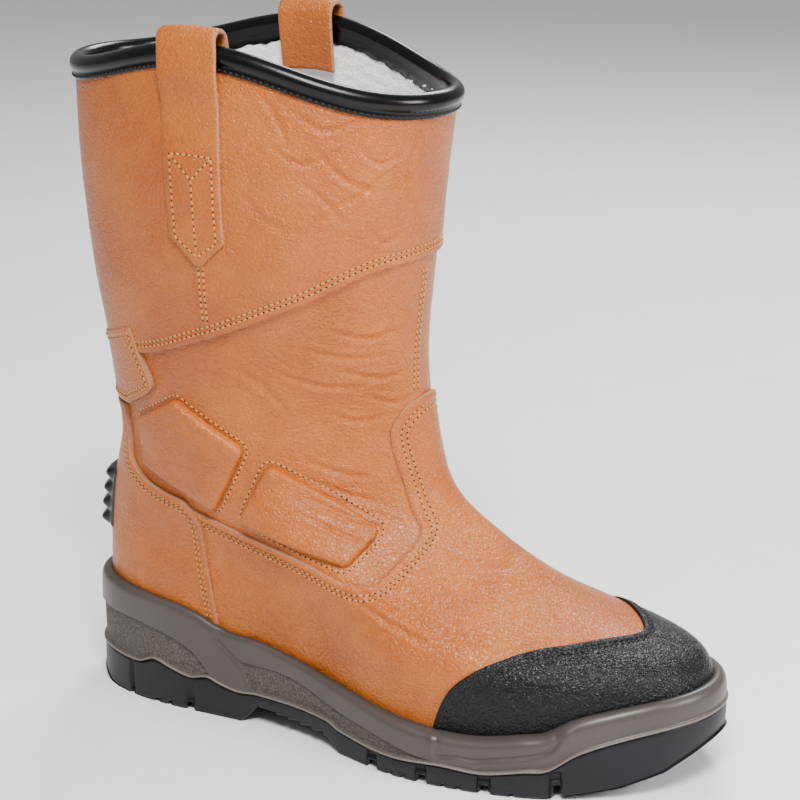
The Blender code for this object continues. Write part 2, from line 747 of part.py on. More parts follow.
def strap_path():
    """Middle line of a pull strap as distances out and up from the collar, outer tip first."""
    lift = CLEAR + STRAP_THICKNESS / 2
    outer = BINDING_OUT + CLEAR + lift
    inner = -BINDING_IN - CLEAR - lift
    crown = STRAP_LOOP + BINDING_CROWN
    path = [(lift, -STRAP_DROP + crown), (lift, -STRAP_DROP + crown + STRAP_POINT)]
    path += [(lift, -share * STRAP_DROP) for share in STRAP_STOPS]
    path += [(outer, -BINDING_DEPTH - STRAP_THICKNESS), (outer, -CLEAR)]
    middle = (outer + inner) / 2
    half = (outer - inner) / 2
    for k in range(1, STRAP_LOOP_STEPS):
        angle = math.pi * k / STRAP_LOOP_STEPS
        path.append((middle + half * math.cos(angle), crown * math.sin(angle) ** STRAP_ROUND))
    path += [(inner, -CLEAR), (inner, crown - STRAP_TAIL)]
    return path


def strap_half_width(up):
    """Half-width of a strap: full down to its pointed tip."""
    tip = -STRAP_DROP + STRAP_LOOP + BINDING_CROWN
    share = min(max((up - tip) / STRAP_POINT, 0.0), 1.0)
    return STRAP_WIDTH / 2 * (STRAP_TIP + (1 - STRAP_TIP) * share)


def make_straps(boot, finish):
    """Pull straps that loop over the collar at the outer and inner sides."""
    path = strap_path()
    for side in (-1, 1):
        faces = {1: [], -1: []}
        for i, (out, up) in enumerate(path):
            before = Vector(path[max(i - 1, 0)])
            after = Vector(path[min(i + 1, len(path) - 1)])
            run = (after - before).normalized()
            for face in faces:
                here_out = out + run.y * face * STRAP_THICKNESS / 2
                here_up = up - run.x * face * STRAP_THICKNESS / 2
                half = strap_half_width(up)
                row = []
                for k in range(STRAP_COLUMNS):
                    share = 2 * k / (STRAP_COLUMNS - 1) - 1
                    along = STRAP_ALONG + share * half / SHAFT_DEPTH - STRAP_SLANT * up / STRAP_DROP
                    row.append(collar_point(along, side, here_out, here_up))
                faces[face].append(row)
        name = "pull_strap_" + side_name(side)
        boot.add(name, patch_solid(name, faces[-1], faces[1]), finish)


def make_midsole(boot, finish):
    """Moulded midsole: a cup around the upper's lower edge, with two bands on its side."""
    lip = cup_loop(1.0, CUP_GAP + LIP_THICKNESS)
    shoulder = sole_loop("lip", SHOULDER_INSET, -SHOULDER)
    soft = [(a + b) / 2 + Vector((0, 0, SHOULDER / 5)) for a, b in zip(lip, shoulder)]
    loops = [
        sole_loop("core", RIM_WIDTH + CLEAR, CLEAR),
        sole_loop("joint", RIM_WIDTH + CLEAR, CLEAR),
        sole_loop("joint", BAND_STEP, CLEAR),
        sole_loop("band", BAND_STEP / 4, -BAND_STEP),
        sole_loop("band", BAND_STEP),
        sole_loop("band", 0.0, BAND_STEP),
        shoulder,
        soft,
        lip,
        cup_loop(1.0, CUP_GAP),
        cup_loop(0.5, CUP_GAP),
        cup_loop(0.0, CUP_GAP, CLEAR),
    ]
    boot.add("midsole", solid_from_loops("midsole", loops), finish)


def make_insole(boot, finish):
    """Insole inside the upper, on the midsole's bed."""
    def level(lift):
        def point(along, side):
            face = upper_point(0.0, along, side)
            middle = Vector((face.x, middle_line(along), face.z))
            inward = form_normal(0.0, along, side)
            inward.z = 0
            place = face - inward.normalized() * (LINING_DEPTH + INSOLE_GAP)
            if (place.y - middle.y) * side < 0:
                place.y = middle.y
            return place + Vector((0, 0, lift))
        return loop_points(point, sole_steps()[1:-1])

    loops = [level(0.0), level(INSOLE_THICKNESS)]
    boot.add("insole", solid_from_loops("insole", loops), finish)


def groove_mesh():
    """All grooves of the tread as boxes in one cutter."""
    boxes = []
    for along, share in SIDE_GROOVES:
        x = along * SOLE_LENGTH
        half = share * GROOVE_WIDTH / 2
        floor = sole_height(along, "tread") + GROOVE_DEPTH
        for side in (-1, 1):
            edge = middle_line(along) + side * sole_half_width(along, side_name(side))
            ends = sorted((edge - side * GROOVE_REACH, edge + side * GROOVE_REACH))
            boxes.append(((x - half, ends[0], -GROOVE_DEPTH), (x + half, ends[1], floor)))
    for along in CENTRE_GROOVES:
        x = along * SOLE_LENGTH
        y = middle_line(along)
        half = GROOVE_WIDTH / 2
        width = GROOVE_REACH / 2
        boxes.append(((x - half, y - width, -GROOVE_DEPTH), (x + half, y + width, GROOVE_DEPTH)))
    for k in range(ARCH_TEETH):
        along = ARCH_FROM + (ARCH_TO - ARCH_FROM) * k / (ARCH_TEETH - 1)
        x = along * SOLE_LENGTH
        half = GROOVE_WIDTH / 2
        top = sole_height(along, "tread") + TOOTH_DEPTH
        boxes.append(((x - half, -BALL_WIDTH, -GROOVE_DEPTH), (x + half, BALL_WIDTH, top)))
    shape = bmesh.new()
    for low, high in boxes:
        made = bmesh.ops.create_cube(shape, size=1.0)
        for vertex in made["verts"]:
            vertex.co = Vector([
                (a + b) / 2 + c * (b - a) for a, b, c in zip(low, high, vertex.co)
            ])
    mesh = bpy.data.meshes.new("grooves")
    shape.to_mesh(mesh)
    shape.free()
    return mesh


def make_outsole(boot, finish):
    """Rubber outsole with heel, arch, lugs and a rim that wraps the midsole."""
    loops = [
        sole_loop("tread", 2 * BAND_STEP),
        sole_loop("tread", BAND_STEP / 2, 1.5 * BAND_STEP),
        sole_loop("joint", BAND_STEP),
        sole_loop("joint", RIM_WIDTH),
        sole_loop("core", RIM_WIDTH),
    ]
    piece = boot.add("outsole", solid_from_loops("outsole", loops), finish)
    boolean(piece, boot.cutter("grooves", groove_mesh()), "DIFFERENCE")


def centre_on_ground(boot):
    """Move the whole boot so that the middle of its box stands on the origin."""
    bpy.context.view_layer.update()
    low = Vector((math.inf,) * 3)
    high = -low
    shapes = bpy.context.evaluated_depsgraph_get()
    for obj in boot.parts.objects:
        if obj.type == "MESH":
            for vertex in obj.evaluated_get(shapes).data.vertices:
                low = Vector(map(min, low, vertex.co))
                high = Vector(map(max, high, vertex.co))
    boot.root.location = (-(low.x + high.x) / 2, -(low.y + high.y) / 2, -low.z)


def main():
    """Build the boot."""
    for obj in list(bpy.data.objects):
        bpy.data.objects.remove(obj)
    boot = Boot()
    leather = material("tan_leather", (0.49, 0.20, 0.085), 0.45)
    cap_leather = material("black_leather", (0.017, 0.017, 0.02), 0.42)
    binding = material("black_binding", (0.01, 0.01, 0.012), 0.3)
    midsole = material("grey_polyurethane", (0.18, 0.16, 0.14), 0.6)
    rubber = material("black_rubber", (0.02, 0.02, 0.027), 0.5)
    fleece = material("white_fleece", (0.8, 0.8, 0.8), 0.95)
    make_upper(boot, leather)
    make_panels(boot, leather, cap_leather)
    make_spur(boot, rubber)
    make_binding(boot, binding)
    make_straps(boot, leather)
    make_insole(boot, fleece)
    make_midsole(boot, midsole)
    make_outsole(boot, rubber)
    centre_on_ground(boot)


main()
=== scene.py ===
"""Studio looks of a right rigger boot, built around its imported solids.

Lengths are in metres in the frame's axes: +X to the toe, -Y to the outer side, +Z up.
"""
import logging
import math
from collections import defaultdict
from dataclasses import dataclass, field
from enum import Enum
from typing import Callable, Iterable, Sequence

import bpy
import numpy as np
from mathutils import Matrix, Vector


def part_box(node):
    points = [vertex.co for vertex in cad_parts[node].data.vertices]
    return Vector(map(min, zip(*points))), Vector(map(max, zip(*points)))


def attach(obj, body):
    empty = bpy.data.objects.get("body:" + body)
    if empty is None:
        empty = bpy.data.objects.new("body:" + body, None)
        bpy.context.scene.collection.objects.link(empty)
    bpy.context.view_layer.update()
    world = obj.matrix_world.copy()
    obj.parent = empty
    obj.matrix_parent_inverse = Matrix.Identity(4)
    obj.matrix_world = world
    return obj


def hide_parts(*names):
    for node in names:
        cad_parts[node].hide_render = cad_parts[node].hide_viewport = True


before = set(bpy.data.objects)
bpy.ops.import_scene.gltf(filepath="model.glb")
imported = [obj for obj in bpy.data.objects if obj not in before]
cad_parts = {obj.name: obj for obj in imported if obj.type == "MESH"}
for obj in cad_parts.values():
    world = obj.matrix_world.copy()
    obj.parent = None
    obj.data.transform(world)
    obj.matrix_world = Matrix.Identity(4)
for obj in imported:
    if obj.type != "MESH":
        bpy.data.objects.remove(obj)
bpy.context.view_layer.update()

MM = 0.001
# Clearance between two pieces that touch
GAP = 0.3 * MM
LOG = logging.getLogger("rigger_boot")
Array = np.ndarray
Field = Callable[[Array], Array]


class Side(Enum):
    """The two sides of the boot, with their direction along Y."""

    OUTER = -1
    INNER = 1


# Sole outline: half-widths as shares of half the heel or ball width
OUTLINE = {
    "along": (0.00, 0.10, 0.25, 0.42, 0.64, 0.80, 0.93, 1.00),
    "outer": (1.80, 1.46, 1.12, 0.93, 1.16, 1.26, 1.27, 1.32),
    "inner": (1.80, 1.46, 1.10, 0.72, 0.80, 1.06, 1.24, 1.30),
}

# Lines along the side of the sole, as shares of half the heel width
SOLE_LINES = {
    "along": (0.00, 0.05, 0.12, 0.15, 0.18, 0.215, 0.245, 0.27, 0.30, 0.33, 0.46, 0.485, 0.58, 0.66,
              0.72, 0.78, 0.81, 0.85, 0.90, 0.95, 1.00),
    "lip": (1.33, 1.34, 1.30, 1.28, 1.25, 1.19, 1.10, 1.03, 1.01, 0.99, 0.80, 0.77, 0.65, 0.59,
            0.60, 0.67, 0.71, 0.87, 0.97, 1.04, 1.09),
    "band": (0.97, 0.95, 0.94, 0.92, 0.87, 0.76, 0.64, 0.68, 0.72, 0.70, 0.52, 0.46, 0.36, 0.34,
             0.34, 0.42, 0.47, 0.65, 0.78, 0.86, 0.92),
    "bed": (0.86, 0.86, 0.85, 0.84, 0.83, 0.80, 0.78, 0.76, 0.74, 0.71, 0.60, 0.58, 0.53, 0.49,
            0.48, 0.50, 0.52, 0.56, 0.62, 0.70, 0.78),
    "joint": (0.45, 0.45, 0.44, 0.52, 0.46, 0.40, 0.44, 0.38, 0.34, 0.36, 0.33, 0.27, 0.21, 0.24,
              0.22, 0.29, 0.32, 0.52, 0.66, 0.75, 0.81),
    "core": (0.40, 0.39, 0.38, 0.37, 0.36, 0.35, 0.34, 0.33, 0.31, 0.31, 0.27, 0.23, 0.18, 0.18,
             0.18, 0.20, 0.24, 0.31, 0.40, 0.50, 0.66),
    "tread": (0.14, 0.00, 0.00, 0.00, 0.00, 0.00, 0.00, 0.00, 0.00, 0.22, 0.18, 0.00, 0.00, 0.00,
              0.00, 0.00, 0.02, 0.07, 0.14, 0.28, 0.55),
}

# Loops of the foot: ends as shares of sole length and instep height, widths as shares of the
# sole's outline and of the shaft, draw-in of the front, and how far the loop follows the bed
FOOT_LOOPS = (
    (0.024, 0.268, 0.975, 0.262, 0.86, 0.00, 0.00, 1.0),
    (0.019, 0.40, 0.975, 0.345, 0.89, 0.00, 0.00, 0.8),
    (0.020, 0.52, 0.952, 0.410, 0.86, 0.04, 0.03, 0.4),
    (0.022, 0.63, 0.892, 0.455, 0.76, 0.10, 0.12, 0.1),
    (0.028, 0.72, 0.801, 0.520, 0.62, 0.24, 0.26, 0.0),
    (0.036, 0.80, 0.706, 0.625, 0.46, 0.40, 0.36, 0.0),
    (0.044, 0.88, 0.620, 0.750, 0.31, 0.53, 0.38, 0.0),
)

# Loops of the leg: height from instep to collar, back and front from the shaft's axis as shares
# of its depth, width, rise of the sides as shares of its width, and tilt of the front
LEG_LOOPS = (
    (-0.02, -0.403, 0.590, 0.78, 0.00, -0.08),
    (0.10, -0.412, 0.545, 0.85, 0.00, -0.02),
    (0.26, -0.435, 0.530, 0.92, 0.00, 0.01),
    (0.48, -0.472, 0.550, 0.98, 0.00, 0.02),
    (0.74, -0.498, 0.575, 1.00, 0.02, 0.00),
    (1.00, -0.515, 0.610, 0.94, 0.15, -0.04),
)


def ease(value: Array, start: float, end: float) -> Array:
    """Ease from 0 at the start to 1 at the end, with level ends."""
    share = np.clip((np.asarray(value) - start) / (end - start), 0.0, 1.0)
    return share * share * (3 - 2 * share)


def curve(places: Sequence[float], values: Sequence[float], at: Array) -> Array:
    """Read a smooth curve through known values.

    Args:
        places: Rising places of the known values.
        values: Known values.
        at: Places to read.

    Returns:
        Values of the curve at the places.
    """
    places = np.asarray(places, float)
    values = np.asarray(values, float)
    count = len(places)
    low = np.maximum(np.arange(count) - 1, 0)
    high = np.minimum(np.arange(count) + 1, count - 1)
    slopes = (values[high] - values[low]) / (places[high] - places[low])
    at = np.clip(at, places[0], places[-1])
    after = np.clip(np.searchsorted(places, at, side="right"), 1, count - 1)
    before = after - 1
    span = places[after] - places[before]
    s = (at - places[before]) / span
    return (
        (2 * s ** 3 - 3 * s ** 2 + 1) * values[before]
        + (s ** 3 - 2 * s ** 2 + s) * span * slopes[before]
        + (3 * s ** 2 - 2 * s ** 3) * values[after]
        + (s ** 3 - s ** 2) * span * slopes[after]
    )


def unit(vectors: Array) -> Array:
    """Scale vectors to length 1."""
    return vectors / np.maximum(np.linalg.norm(vectors, axis=-1, keepdims=True), 1e-12)


def around(count: int) -> Array:
    """Angles of points spread evenly around a loop."""
    return np.linspace(0, 2 * math.pi, count, endpoint=False)


def distances(points: Array) -> Array:
    """Distance of each point from the first, along their line."""
    runs = np.linalg.norm(np.diff(points, axis=0), axis=1)
    return np.concatenate([[0.0], np.cumsum(runs)])


def close_in(low: Array, high: Array, under: Field, rounds: int) -> Array:
    """Find places between two bounds by halving.

    Args:
        low: Bounds on the under side.
        high: Bounds on the far side.
        under: Whether a place is still on the under side.
        rounds: Number of halvings.

    Returns:
        Places where the answer changes.
    """
    for _ in range(rounds):
        middle = (low + high) / 2
        early = under(middle)
        low = np.where(early, middle, low)
        high = np.where(early, high, middle)
    return (low + high) / 2


@dataclass
class Last:
    """The boot's form: the outer face of its sewn-on leather.

    A place on it is a height share t, 0 at the sole and 1 at the collar, and an angle around the
    loop: 0 at the back, a quarter turn on the outer side and half a turn at the front.
    """

    heel_x: float
    sole_length: float
    ball_width: float = 110 * MM
    heel_width: float = 81 * MM
    toe_swing: float = 8 * MM
    instep_height: float = 130 * MM
    boot_height: float = 294 * MM
    shaft_depth: float = 160 * MM
    shaft_width: float = 112 * MM
    shaft_axis: float = 80 * MM
    swing_start: float = 0.35
    widening: tuple[float, float] = (0.25, 0.60)
    pinch_span: tuple[float, float] = (0.35, 0.95)
    foot_fade: float = 0.22
    leg_pinch: float = 0.36
    leg_round: float = 0.92
    loops: Array = field(init=False)

    def __post_init__(self) -> None:
        """Turn the two tables of loops into metres."""
        rows = []
        half = self.shaft_width / 2
        for back_x, back_z, front_x, front_z, foot, leg, pinch, bed in FOOT_LOOPS:
            rows.append((
                back_x * self.sole_length, back_z * self.instep_height,
                front_x * self.sole_length, front_z * self.instep_height,
                foot, leg * half, pinch, bed, 0.0, 1.0,
            ))
        for height, back, front, width, rise, tilt in LEG_LOOPS:
            back_z = self.instep_height + height * (self.boot_height - self.instep_height)
            swing = 1.0 - float(ease(height, LEG_LOOPS[0][0], 0.5))
            foot = self.foot_fade * swing ** 2
            rows.append((
                self.shaft_axis + back * self.shaft_depth, back_z,
                self.shaft_axis + front * self.shaft_depth, back_z + tilt * self.shaft_depth,
                foot, width * half * (1 - foot),
                self.leg_pinch * swing, 0.0, rise * self.shaft_width, swing,
            ))
        self.loops = np.array(rows)

    def middle(self, along: Array) -> Array:
        """Sideways place of the foot's middle line."""
        return self.toe_swing * ease(along, self.swing_start, 1.0)

    def sole_base(self, along: Array) -> Array:
        """Half of the heel width, turning into half of the ball width."""
        spread = self.ball_width - self.heel_width
        return (self.heel_width + spread * ease(along, *self.widening)) / 2

    def sole_width(self, angle: Array) -> Array:
        """Half-width of the sole at an angle around it."""
        along = (1 - np.cos(angle)) / 2
        outer = curve(OUTLINE["along"], OUTLINE["outer"], along)
        inner = curve(OUTLINE["along"], OUTLINE["inner"], along)
        share = np.where(np.sin(angle) >= 0, outer, inner)
        return self.sole_base(along) * share * np.abs(np.sin(angle))

    def sole_line(self, name: str, along: Array, smooth: bool = True) -> Array:
        """Height of one of the sole's lines.

        Args:
            name: Line in SOLE_LINES.
            along: Places from heel to toe.
            smooth: Whether to read a curve or straight runs.

        Returns:
            Heights over the ground.
        """
        read = curve(SOLE_LINES["along"], SOLE_LINES[name], along) if smooth else np.interp(
            along, SOLE_LINES["along"], SOLE_LINES[name])
        return self.heel_width / 2 * read

    def point(self, t: Array, angle: Array) -> Array:
        """Points of the form.

        Args:
            t: Height shares.
            angle: Angles around the loop.

        Returns:
            Points, with their coordinates on the last axis.
        """
        place = np.clip(t, 0.0, 1.0) * (len(self.loops) - 1)
        stations = range(len(self.loops))
        back_x, back_z, front_x, front_z, foot, leg, pinch, bed, rise, swing = (
            curve(stations, column, place) for column in self.loops.T)
        along = (1 - np.cos(angle)) / 2
        turn = np.sin(angle)
        width = foot * self.sole_width(angle) + leg * np.abs(turn) ** self.leg_round
        width = width * (1 - pinch * ease(along, *self.pinch_span))
        line = self.sole_line("bed", along, smooth=False)
        ends = self.sole_line("bed", np.array([0.0, 1.0]), smooth=False)
        sag = line - ends[0] * (1 - along) - ends[1] * along
        x = self.heel_x + back_x + (front_x - back_x) * along
        y = self.middle(along) * swing - np.sign(turn) * width
        z = back_z + (front_z - back_z) * along + rise * np.sin(math.pi * along) ** 2 + bed * sag
        return np.stack(np.broadcast_arrays(x, y, z), -1)

    def slopes(self, t: Array, angle: Array) -> tuple[Array, Array]:
        """Change of the point with t and with the angle."""
        step = 0.004
        high = np.minimum(t + step, 1.0)
        low = np.maximum(t - step, 0.0)
        by_t = (self.point(high, angle) - self.point(low, angle)) / (high - low)[..., None]
        by_angle = (self.point(t, angle + step) - self.point(t, angle - step)) / (2 * step)
        return by_t, by_angle

    def normal(self, t: Array, angle: Array) -> Array:
        """Unit normals pointing outwards."""
        by_t, by_angle = self.slopes(np.asarray(t, float), angle)
        return unit(np.cross(by_angle, by_t))

    def level(self, angle: Array, height: Array) -> Array:
        """Height share t at which the form reaches a height over the ground."""
        low = np.zeros(np.broadcast(angle, height).shape)
        return close_in(low, np.ones_like(low), lambda t: self.point(t, angle)[..., 2] < height, 22)

    def collar(self, angle: Array, out: Array, up: Array) -> Array:
        """Points by their distance out from the form and height over the collar's edge.

        Args:
            angle: Angles around the loop.
            out: Distances out from the form.
            up: Heights over the edge, below 0 under it.

        Returns:
            Points.
        """
        rim = self.point(np.ones_like(angle), angle)
        t = np.where(up < 0, self.level(angle, rim[..., 2] + np.minimum(up, 0)), 1.0)
        place = self.point(t, angle) + self.normal(t, angle) * out[..., None]
        place[..., 2] += np.maximum(up, 0)
        return place

    def steps(self, low: float, high: float, cell: float) -> Array:
        """Values of t whose rows lie a cell apart at most."""
        fine = np.linspace(low, high, 300)
        angles = around(24)
        points = self.point(fine[:, None], angles[None, :])
        runs = np.linalg.norm(np.diff(points, axis=0), axis=-1).max(axis=1)
        length = np.concatenate([[0.0], np.cumsum(runs)])
        count = max(int(length[-1] / cell), 2)
        return np.interp(np.linspace(0, length[-1], count + 1), length, fine)

    def side_points(self, shares: Sequence[tuple[float, float]]) -> Array:
        """Side-view points from shares of sole length and instep height."""
        table = np.array(shares)
        return table * (self.sole_length, self.instep_height) + (self.heel_x, 0)

    def leg_points(self, shares: Sequence[tuple[float, float]]) -> Array:
        """Side-view points from shares of the shaft's depth and height."""
        table = np.array(shares)
        span = self.boot_height - self.instep_height
        return table * (self.shaft_depth, span) + (self.heel_x + self.shaft_axis, self.instep_height)


def flowing(points: Array, count: int = 60) -> Array:
    """Smooth open curve through side-view points."""
    places = distances(points)
    at = np.linspace(0, places[-1], count)
    return np.stack([curve(places, points[:, 0], at), curve(places, points[:, 1], at)], -1)


def rounded(points: Array, radius: float, steps: int = 6) -> Array:
    """Closed outline with its corners rounded.

    Args:
        points: Corners in order.
        radius: Radius of the corners.
        steps: Points along each corner, less one.

    Returns:
        Points of the rounded outline.
    """
    made = []
    count = len(points)
    for k in range(count):
        here = points[k]
        before = unit(points[k - 1] - here)
        after = unit(points[(k + 1) % count] - here)
        reach = radius / math.tan(max(math.acos(np.clip(before @ after, -1, 1)) / 2, 0.2))
        start = here + before * reach
        end = here + after * reach
        for s in np.linspace(0, 1, steps + 1):
            made.append((1 - s) ** 2 * start + 2 * s * (1 - s) * here + s ** 2 * end)
    return np.array(made)


@dataclass(frozen=True)
class Outline:
    """Closed side-view outline made of named edges."""

    edges: tuple[tuple[str, Array], ...]

    def measure(self, points: Array) -> tuple[Array, Array]:
        """Distance from the outline, below 0 inside, and the index of the nearest edge.

        Args:
            points: Points in space, read in side view.

        Returns:
            Signed distances and edge indices.
        """
        corners = np.concatenate([line for _, line in self.edges])
        owner = np.concatenate([np.full(len(line), i) for i, (_, line) in enumerate(self.edges)])
        x, z = points[..., 0], points[..., 2]
        best = np.full(x.shape, np.inf)
        nearest = np.zeros(x.shape, int)
        inside = np.zeros(x.shape, bool)
        for k in range(len(corners)):
            ax, az = corners[k]
            bx, bz = corners[(k + 1) % len(corners)]
            length = (bx - ax) ** 2 + (bz - az) ** 2
            if length < 1e-14:
                continue
            s = np.clip(((x - ax) * (bx - ax) + (z - az) * (bz - az)) / length, 0, 1)
            gap = (x - ax - s * (bx - ax)) ** 2 + (z - az - s * (bz - az)) ** 2
            closer = gap < best
            best = np.where(closer, gap, best)
            nearest = np.where(closer, owner[k], nearest)
            if az != bz:
                crossing = (az > z) != (bz > z)
                inside ^= crossing & (x < (bx - ax) * (z - az) / (bz - az) + ax)
        distance = np.sqrt(best)
        return np.where(inside, -distance, distance), nearest

    def distance(self, points: Array) -> Array:
        """Signed distance alone."""
        return self.measure(points)[0]


@dataclass(frozen=True)
class CapEdge:
    """Edge of the toe cap, by the angle around the foot's middle line."""

    last: Last
    centre: tuple[float, float] = (4 * MM, 20 * MM)
    radius: float = 48 * MM
    edges: tuple[tuple[str, None], ...] = (("edge", None),)

    def distance(self, points: Array) -> Array:
        """Signed distance from the edge, below 0 on the cap."""
        turn = np.degrees(np.arctan2(points[..., 2] - self.centre[1], points[..., 1] - self.centre[0]))
        turn = 180 - np.where(turn < -90, turn + 360, turn)
        table = np.array(CAP_EDGE)
        edge = curve(table[:, 0], table[:, 1], turn) * MM
        ahead = curve(table[:, 0], table[:, 1], turn + 1) * MM
        slope = (ahead - edge) / (math.radians(1) * self.radius)
        return (self.last.heel_x + edge - points[..., 0]) / np.sqrt(1 + slope ** 2)

    def measure(self, points: Array) -> tuple[Array, Array]:
        """Signed distance and the index of the only edge."""
        distance = self.distance(points)
        return distance, np.zeros(distance.shape, int)


@dataclass
class Shape:
    """Points, faces and marks of a mesh in the making."""

    points: list[Array] = field(default_factory=list)
    faces: list[tuple[int, ...]] = field(default_factory=list)
    marks: dict[str, list[Array]] = field(default_factory=dict)
    slots: list[int] = field(default_factory=list)
    size: int = 0

    def add(self, points: Array, faces: Iterable[Sequence[int]], slot: int = 0,
            **marks: Array | float) -> int:
        """Add points with their faces and marks.

        Args:
            points: New points.
            faces: Faces over the new points, counted from 0.
            slot: Material slot of the faces.
            **marks: Values of the points by name.

        Returns:
            Index of the first new point.
        """
        points = np.asarray(points, float).reshape(-1, 3)
        start = self.size
        for face in faces:
            self.faces.append(tuple(int(corner) + start for corner in face))
            self.slots.append(slot)
        for name in set(marks) | set(self.marks):
            rows = self.marks.setdefault(name, [np.zeros(start)] if start else [])
            value = marks.get(name, 0.0)
            rows.append(np.broadcast_to(np.asarray(value, float), (len(points),)).copy())
        self.points.append(points)
        self.size += len(points)
        return start

    def mesh(self, name: str) -> bpy.types.Mesh:
        """Make the mesh."""
        mesh = bpy.data.meshes.new(name)
        mesh.from_pydata(np.concatenate(self.points).tolist(), [], self.faces)
        for mark, rows in self.marks.items():
            layer = mesh.attributes.new(mark, "FLOAT", "POINT")
            layer.data.foreach_set("value", np.concatenate(rows).astype(np.float32))
        if any(self.slots):
            mesh.polygons.foreach_set("material_index", self.slots)
        mesh.shade_smooth()
        mesh.update()
        return mesh


def net_faces(rows: int, columns: int, closed: bool = True, flip: bool = False) -> list[tuple[int, ...]]:
    """Faces of a regular net of points.

    Args:
        rows: Number of rows.
        columns: Number of points in a row.
        closed: Whether the last column joins the first.
        flip: Whether the faces look the other way.

    Returns:
        Faces as tuples of indices.
    """
    i, k = np.meshgrid(np.arange(rows - 1), np.arange(columns if closed else columns - 1),
                       indexing="ij")
    m = (k + 1) % columns
    quads = np.stack([i * columns + k, i * columns + m, (i + 1) * columns + m, (i + 1) * columns + k],
                     -1).reshape(-1, 4)
    return [tuple(q) for q in (quads[:, ::-1] if flip else quads).tolist()]


def place(name: str, shape: Shape, finishes: Sequence[bpy.types.Material], slot: str,
          *replaced: str) -> bpy.types.Object:
    """Put a piece into the scene.

    Args:
        name: Name of the piece.
        shape: Its shape.
        finishes: Its materials by slot.
        slot: The record's material slot; not used.
        *replaced: Nodes that the piece stands for.

    Returns:
        The new object.
    """
    mesh = shape.mesh(name)
    for finish in finishes:
        mesh.materials.append(finish)
    piece = link(name, mesh)
    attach(piece, "root")
    if replaced:
        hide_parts(*replaced)
    LOG.info("%s: %d faces", name, len(mesh.polygons))
    return piece


def uneven(points: Array, wavelength: float, depth: float, seed: int) -> Array:
    """Soft unevenness over points, as a sum of waves in drawn directions.

    Args:
        points: Points in space.
        wavelength: Typical distance between two swells.
        depth: Height of the swells.
        seed: Start of the random draws.

    Returns:
        Heights at the points.
    """
    draw = np.random.default_rng(seed)
    total = np.zeros(points.shape[:-1])
    waves = 9
    for _ in range(waves):
        direction = unit(draw.normal(size=3))
        scale = 2 * math.pi / (wavelength * draw.uniform(0.6, 1.6))
        total += np.sin(points @ direction * scale + draw.uniform(0, 2 * math.pi))
    return depth * total / math.sqrt(waves)


@dataclass(frozen=True)
class Crease:
    """A soft fold of the leather, drawn one by one.

    Places are an angle around the boot in degrees and a height over the ground in millimetres.
    """

    path: tuple[tuple[float, float], ...]
    depth: float
    width: float

    def line(self, last: Last) -> Array:
        """Points of the fold on the form."""
        places = np.array(self.path)
        at = np.linspace(0, len(places) - 1, 8 * len(places))
        known = range(len(places))
        angle = np.radians(curve(known, places[:, 0], at))
        height = curve(known, places[:, 1], at) * MM
        return last.point(last.level(angle, height), angle)


@dataclass
class Relief:
    """Creases and unevenness of the leather over the whole form."""

    last: Last
    creases: Sequence[Crease]
    swell: tuple[float, float] = (60 * MM, 0.22 * MM)
    ripple: tuple[float, float] = (22 * MM, 0.07 * MM)
    ridge: float = 0.55
    ridge_place: float = 1.7
    ridge_width: float = 0.8
    folds: list[tuple[Crease, Array]] = field(init=False)

    def __post_init__(self) -> None:
        """Work out where the creases run."""
        self.folds = [(crease, crease.line(self.last)) for crease in self.creases]

    def height(self, points: Array) -> Array:
        """Height of the leather over its form.

        Args:
            points: Points on the form.

        Returns:
            Heights, below 0 in a trough.
        """
        total = uneven(points, *self.swell, 3) + uneven(points, *self.ripple, 5)
        for crease, line in self.folds:
            width = crease.width * MM
            reach = 4 * width
            low = line.min(axis=0) - reach
            high = line.max(axis=0) + reach
            near = np.nonzero(((points > low) & (points < high)).all(axis=-1))[0]
            if len(near) == 0:
                continue
            here = points[near]
            gap = np.full(len(near), np.inf)
            share = np.zeros(len(near))
            for k in range(len(line) - 1):
                run = line[k + 1] - line[k]
                s = np.clip((here - line[k]) @ run / (run @ run), 0, 1)
                away = np.linalg.norm(here - line[k] - s[:, None] * run, axis=1)
                closer = away < gap
                gap = np.where(closer, away, gap)
                share = np.where(closer, (k + s) / (len(line) - 1), share)
            fade = np.sin(math.pi * np.clip(share, 0.02, 0.98)) ** 0.7
            across = gap / width
            ridge = np.exp(-((across - self.ridge_place) / self.ridge_width) ** 2)
            total[near] += crease.depth * MM * fade * (self.ridge * ridge - np.exp(-across ** 2))
        return total


@dataclass
class Net:
    """Regular net over part of the form."""

    last: Last
    t: Array
    angle: Array
    closed: bool

    def places(self) -> tuple[Array, Array]:
        """Values of t and angle of every point, row by row."""
        t, angle = np.meshgrid(self.t, self.angle, indexing="ij")
        return t.ravel(), angle.ravel()


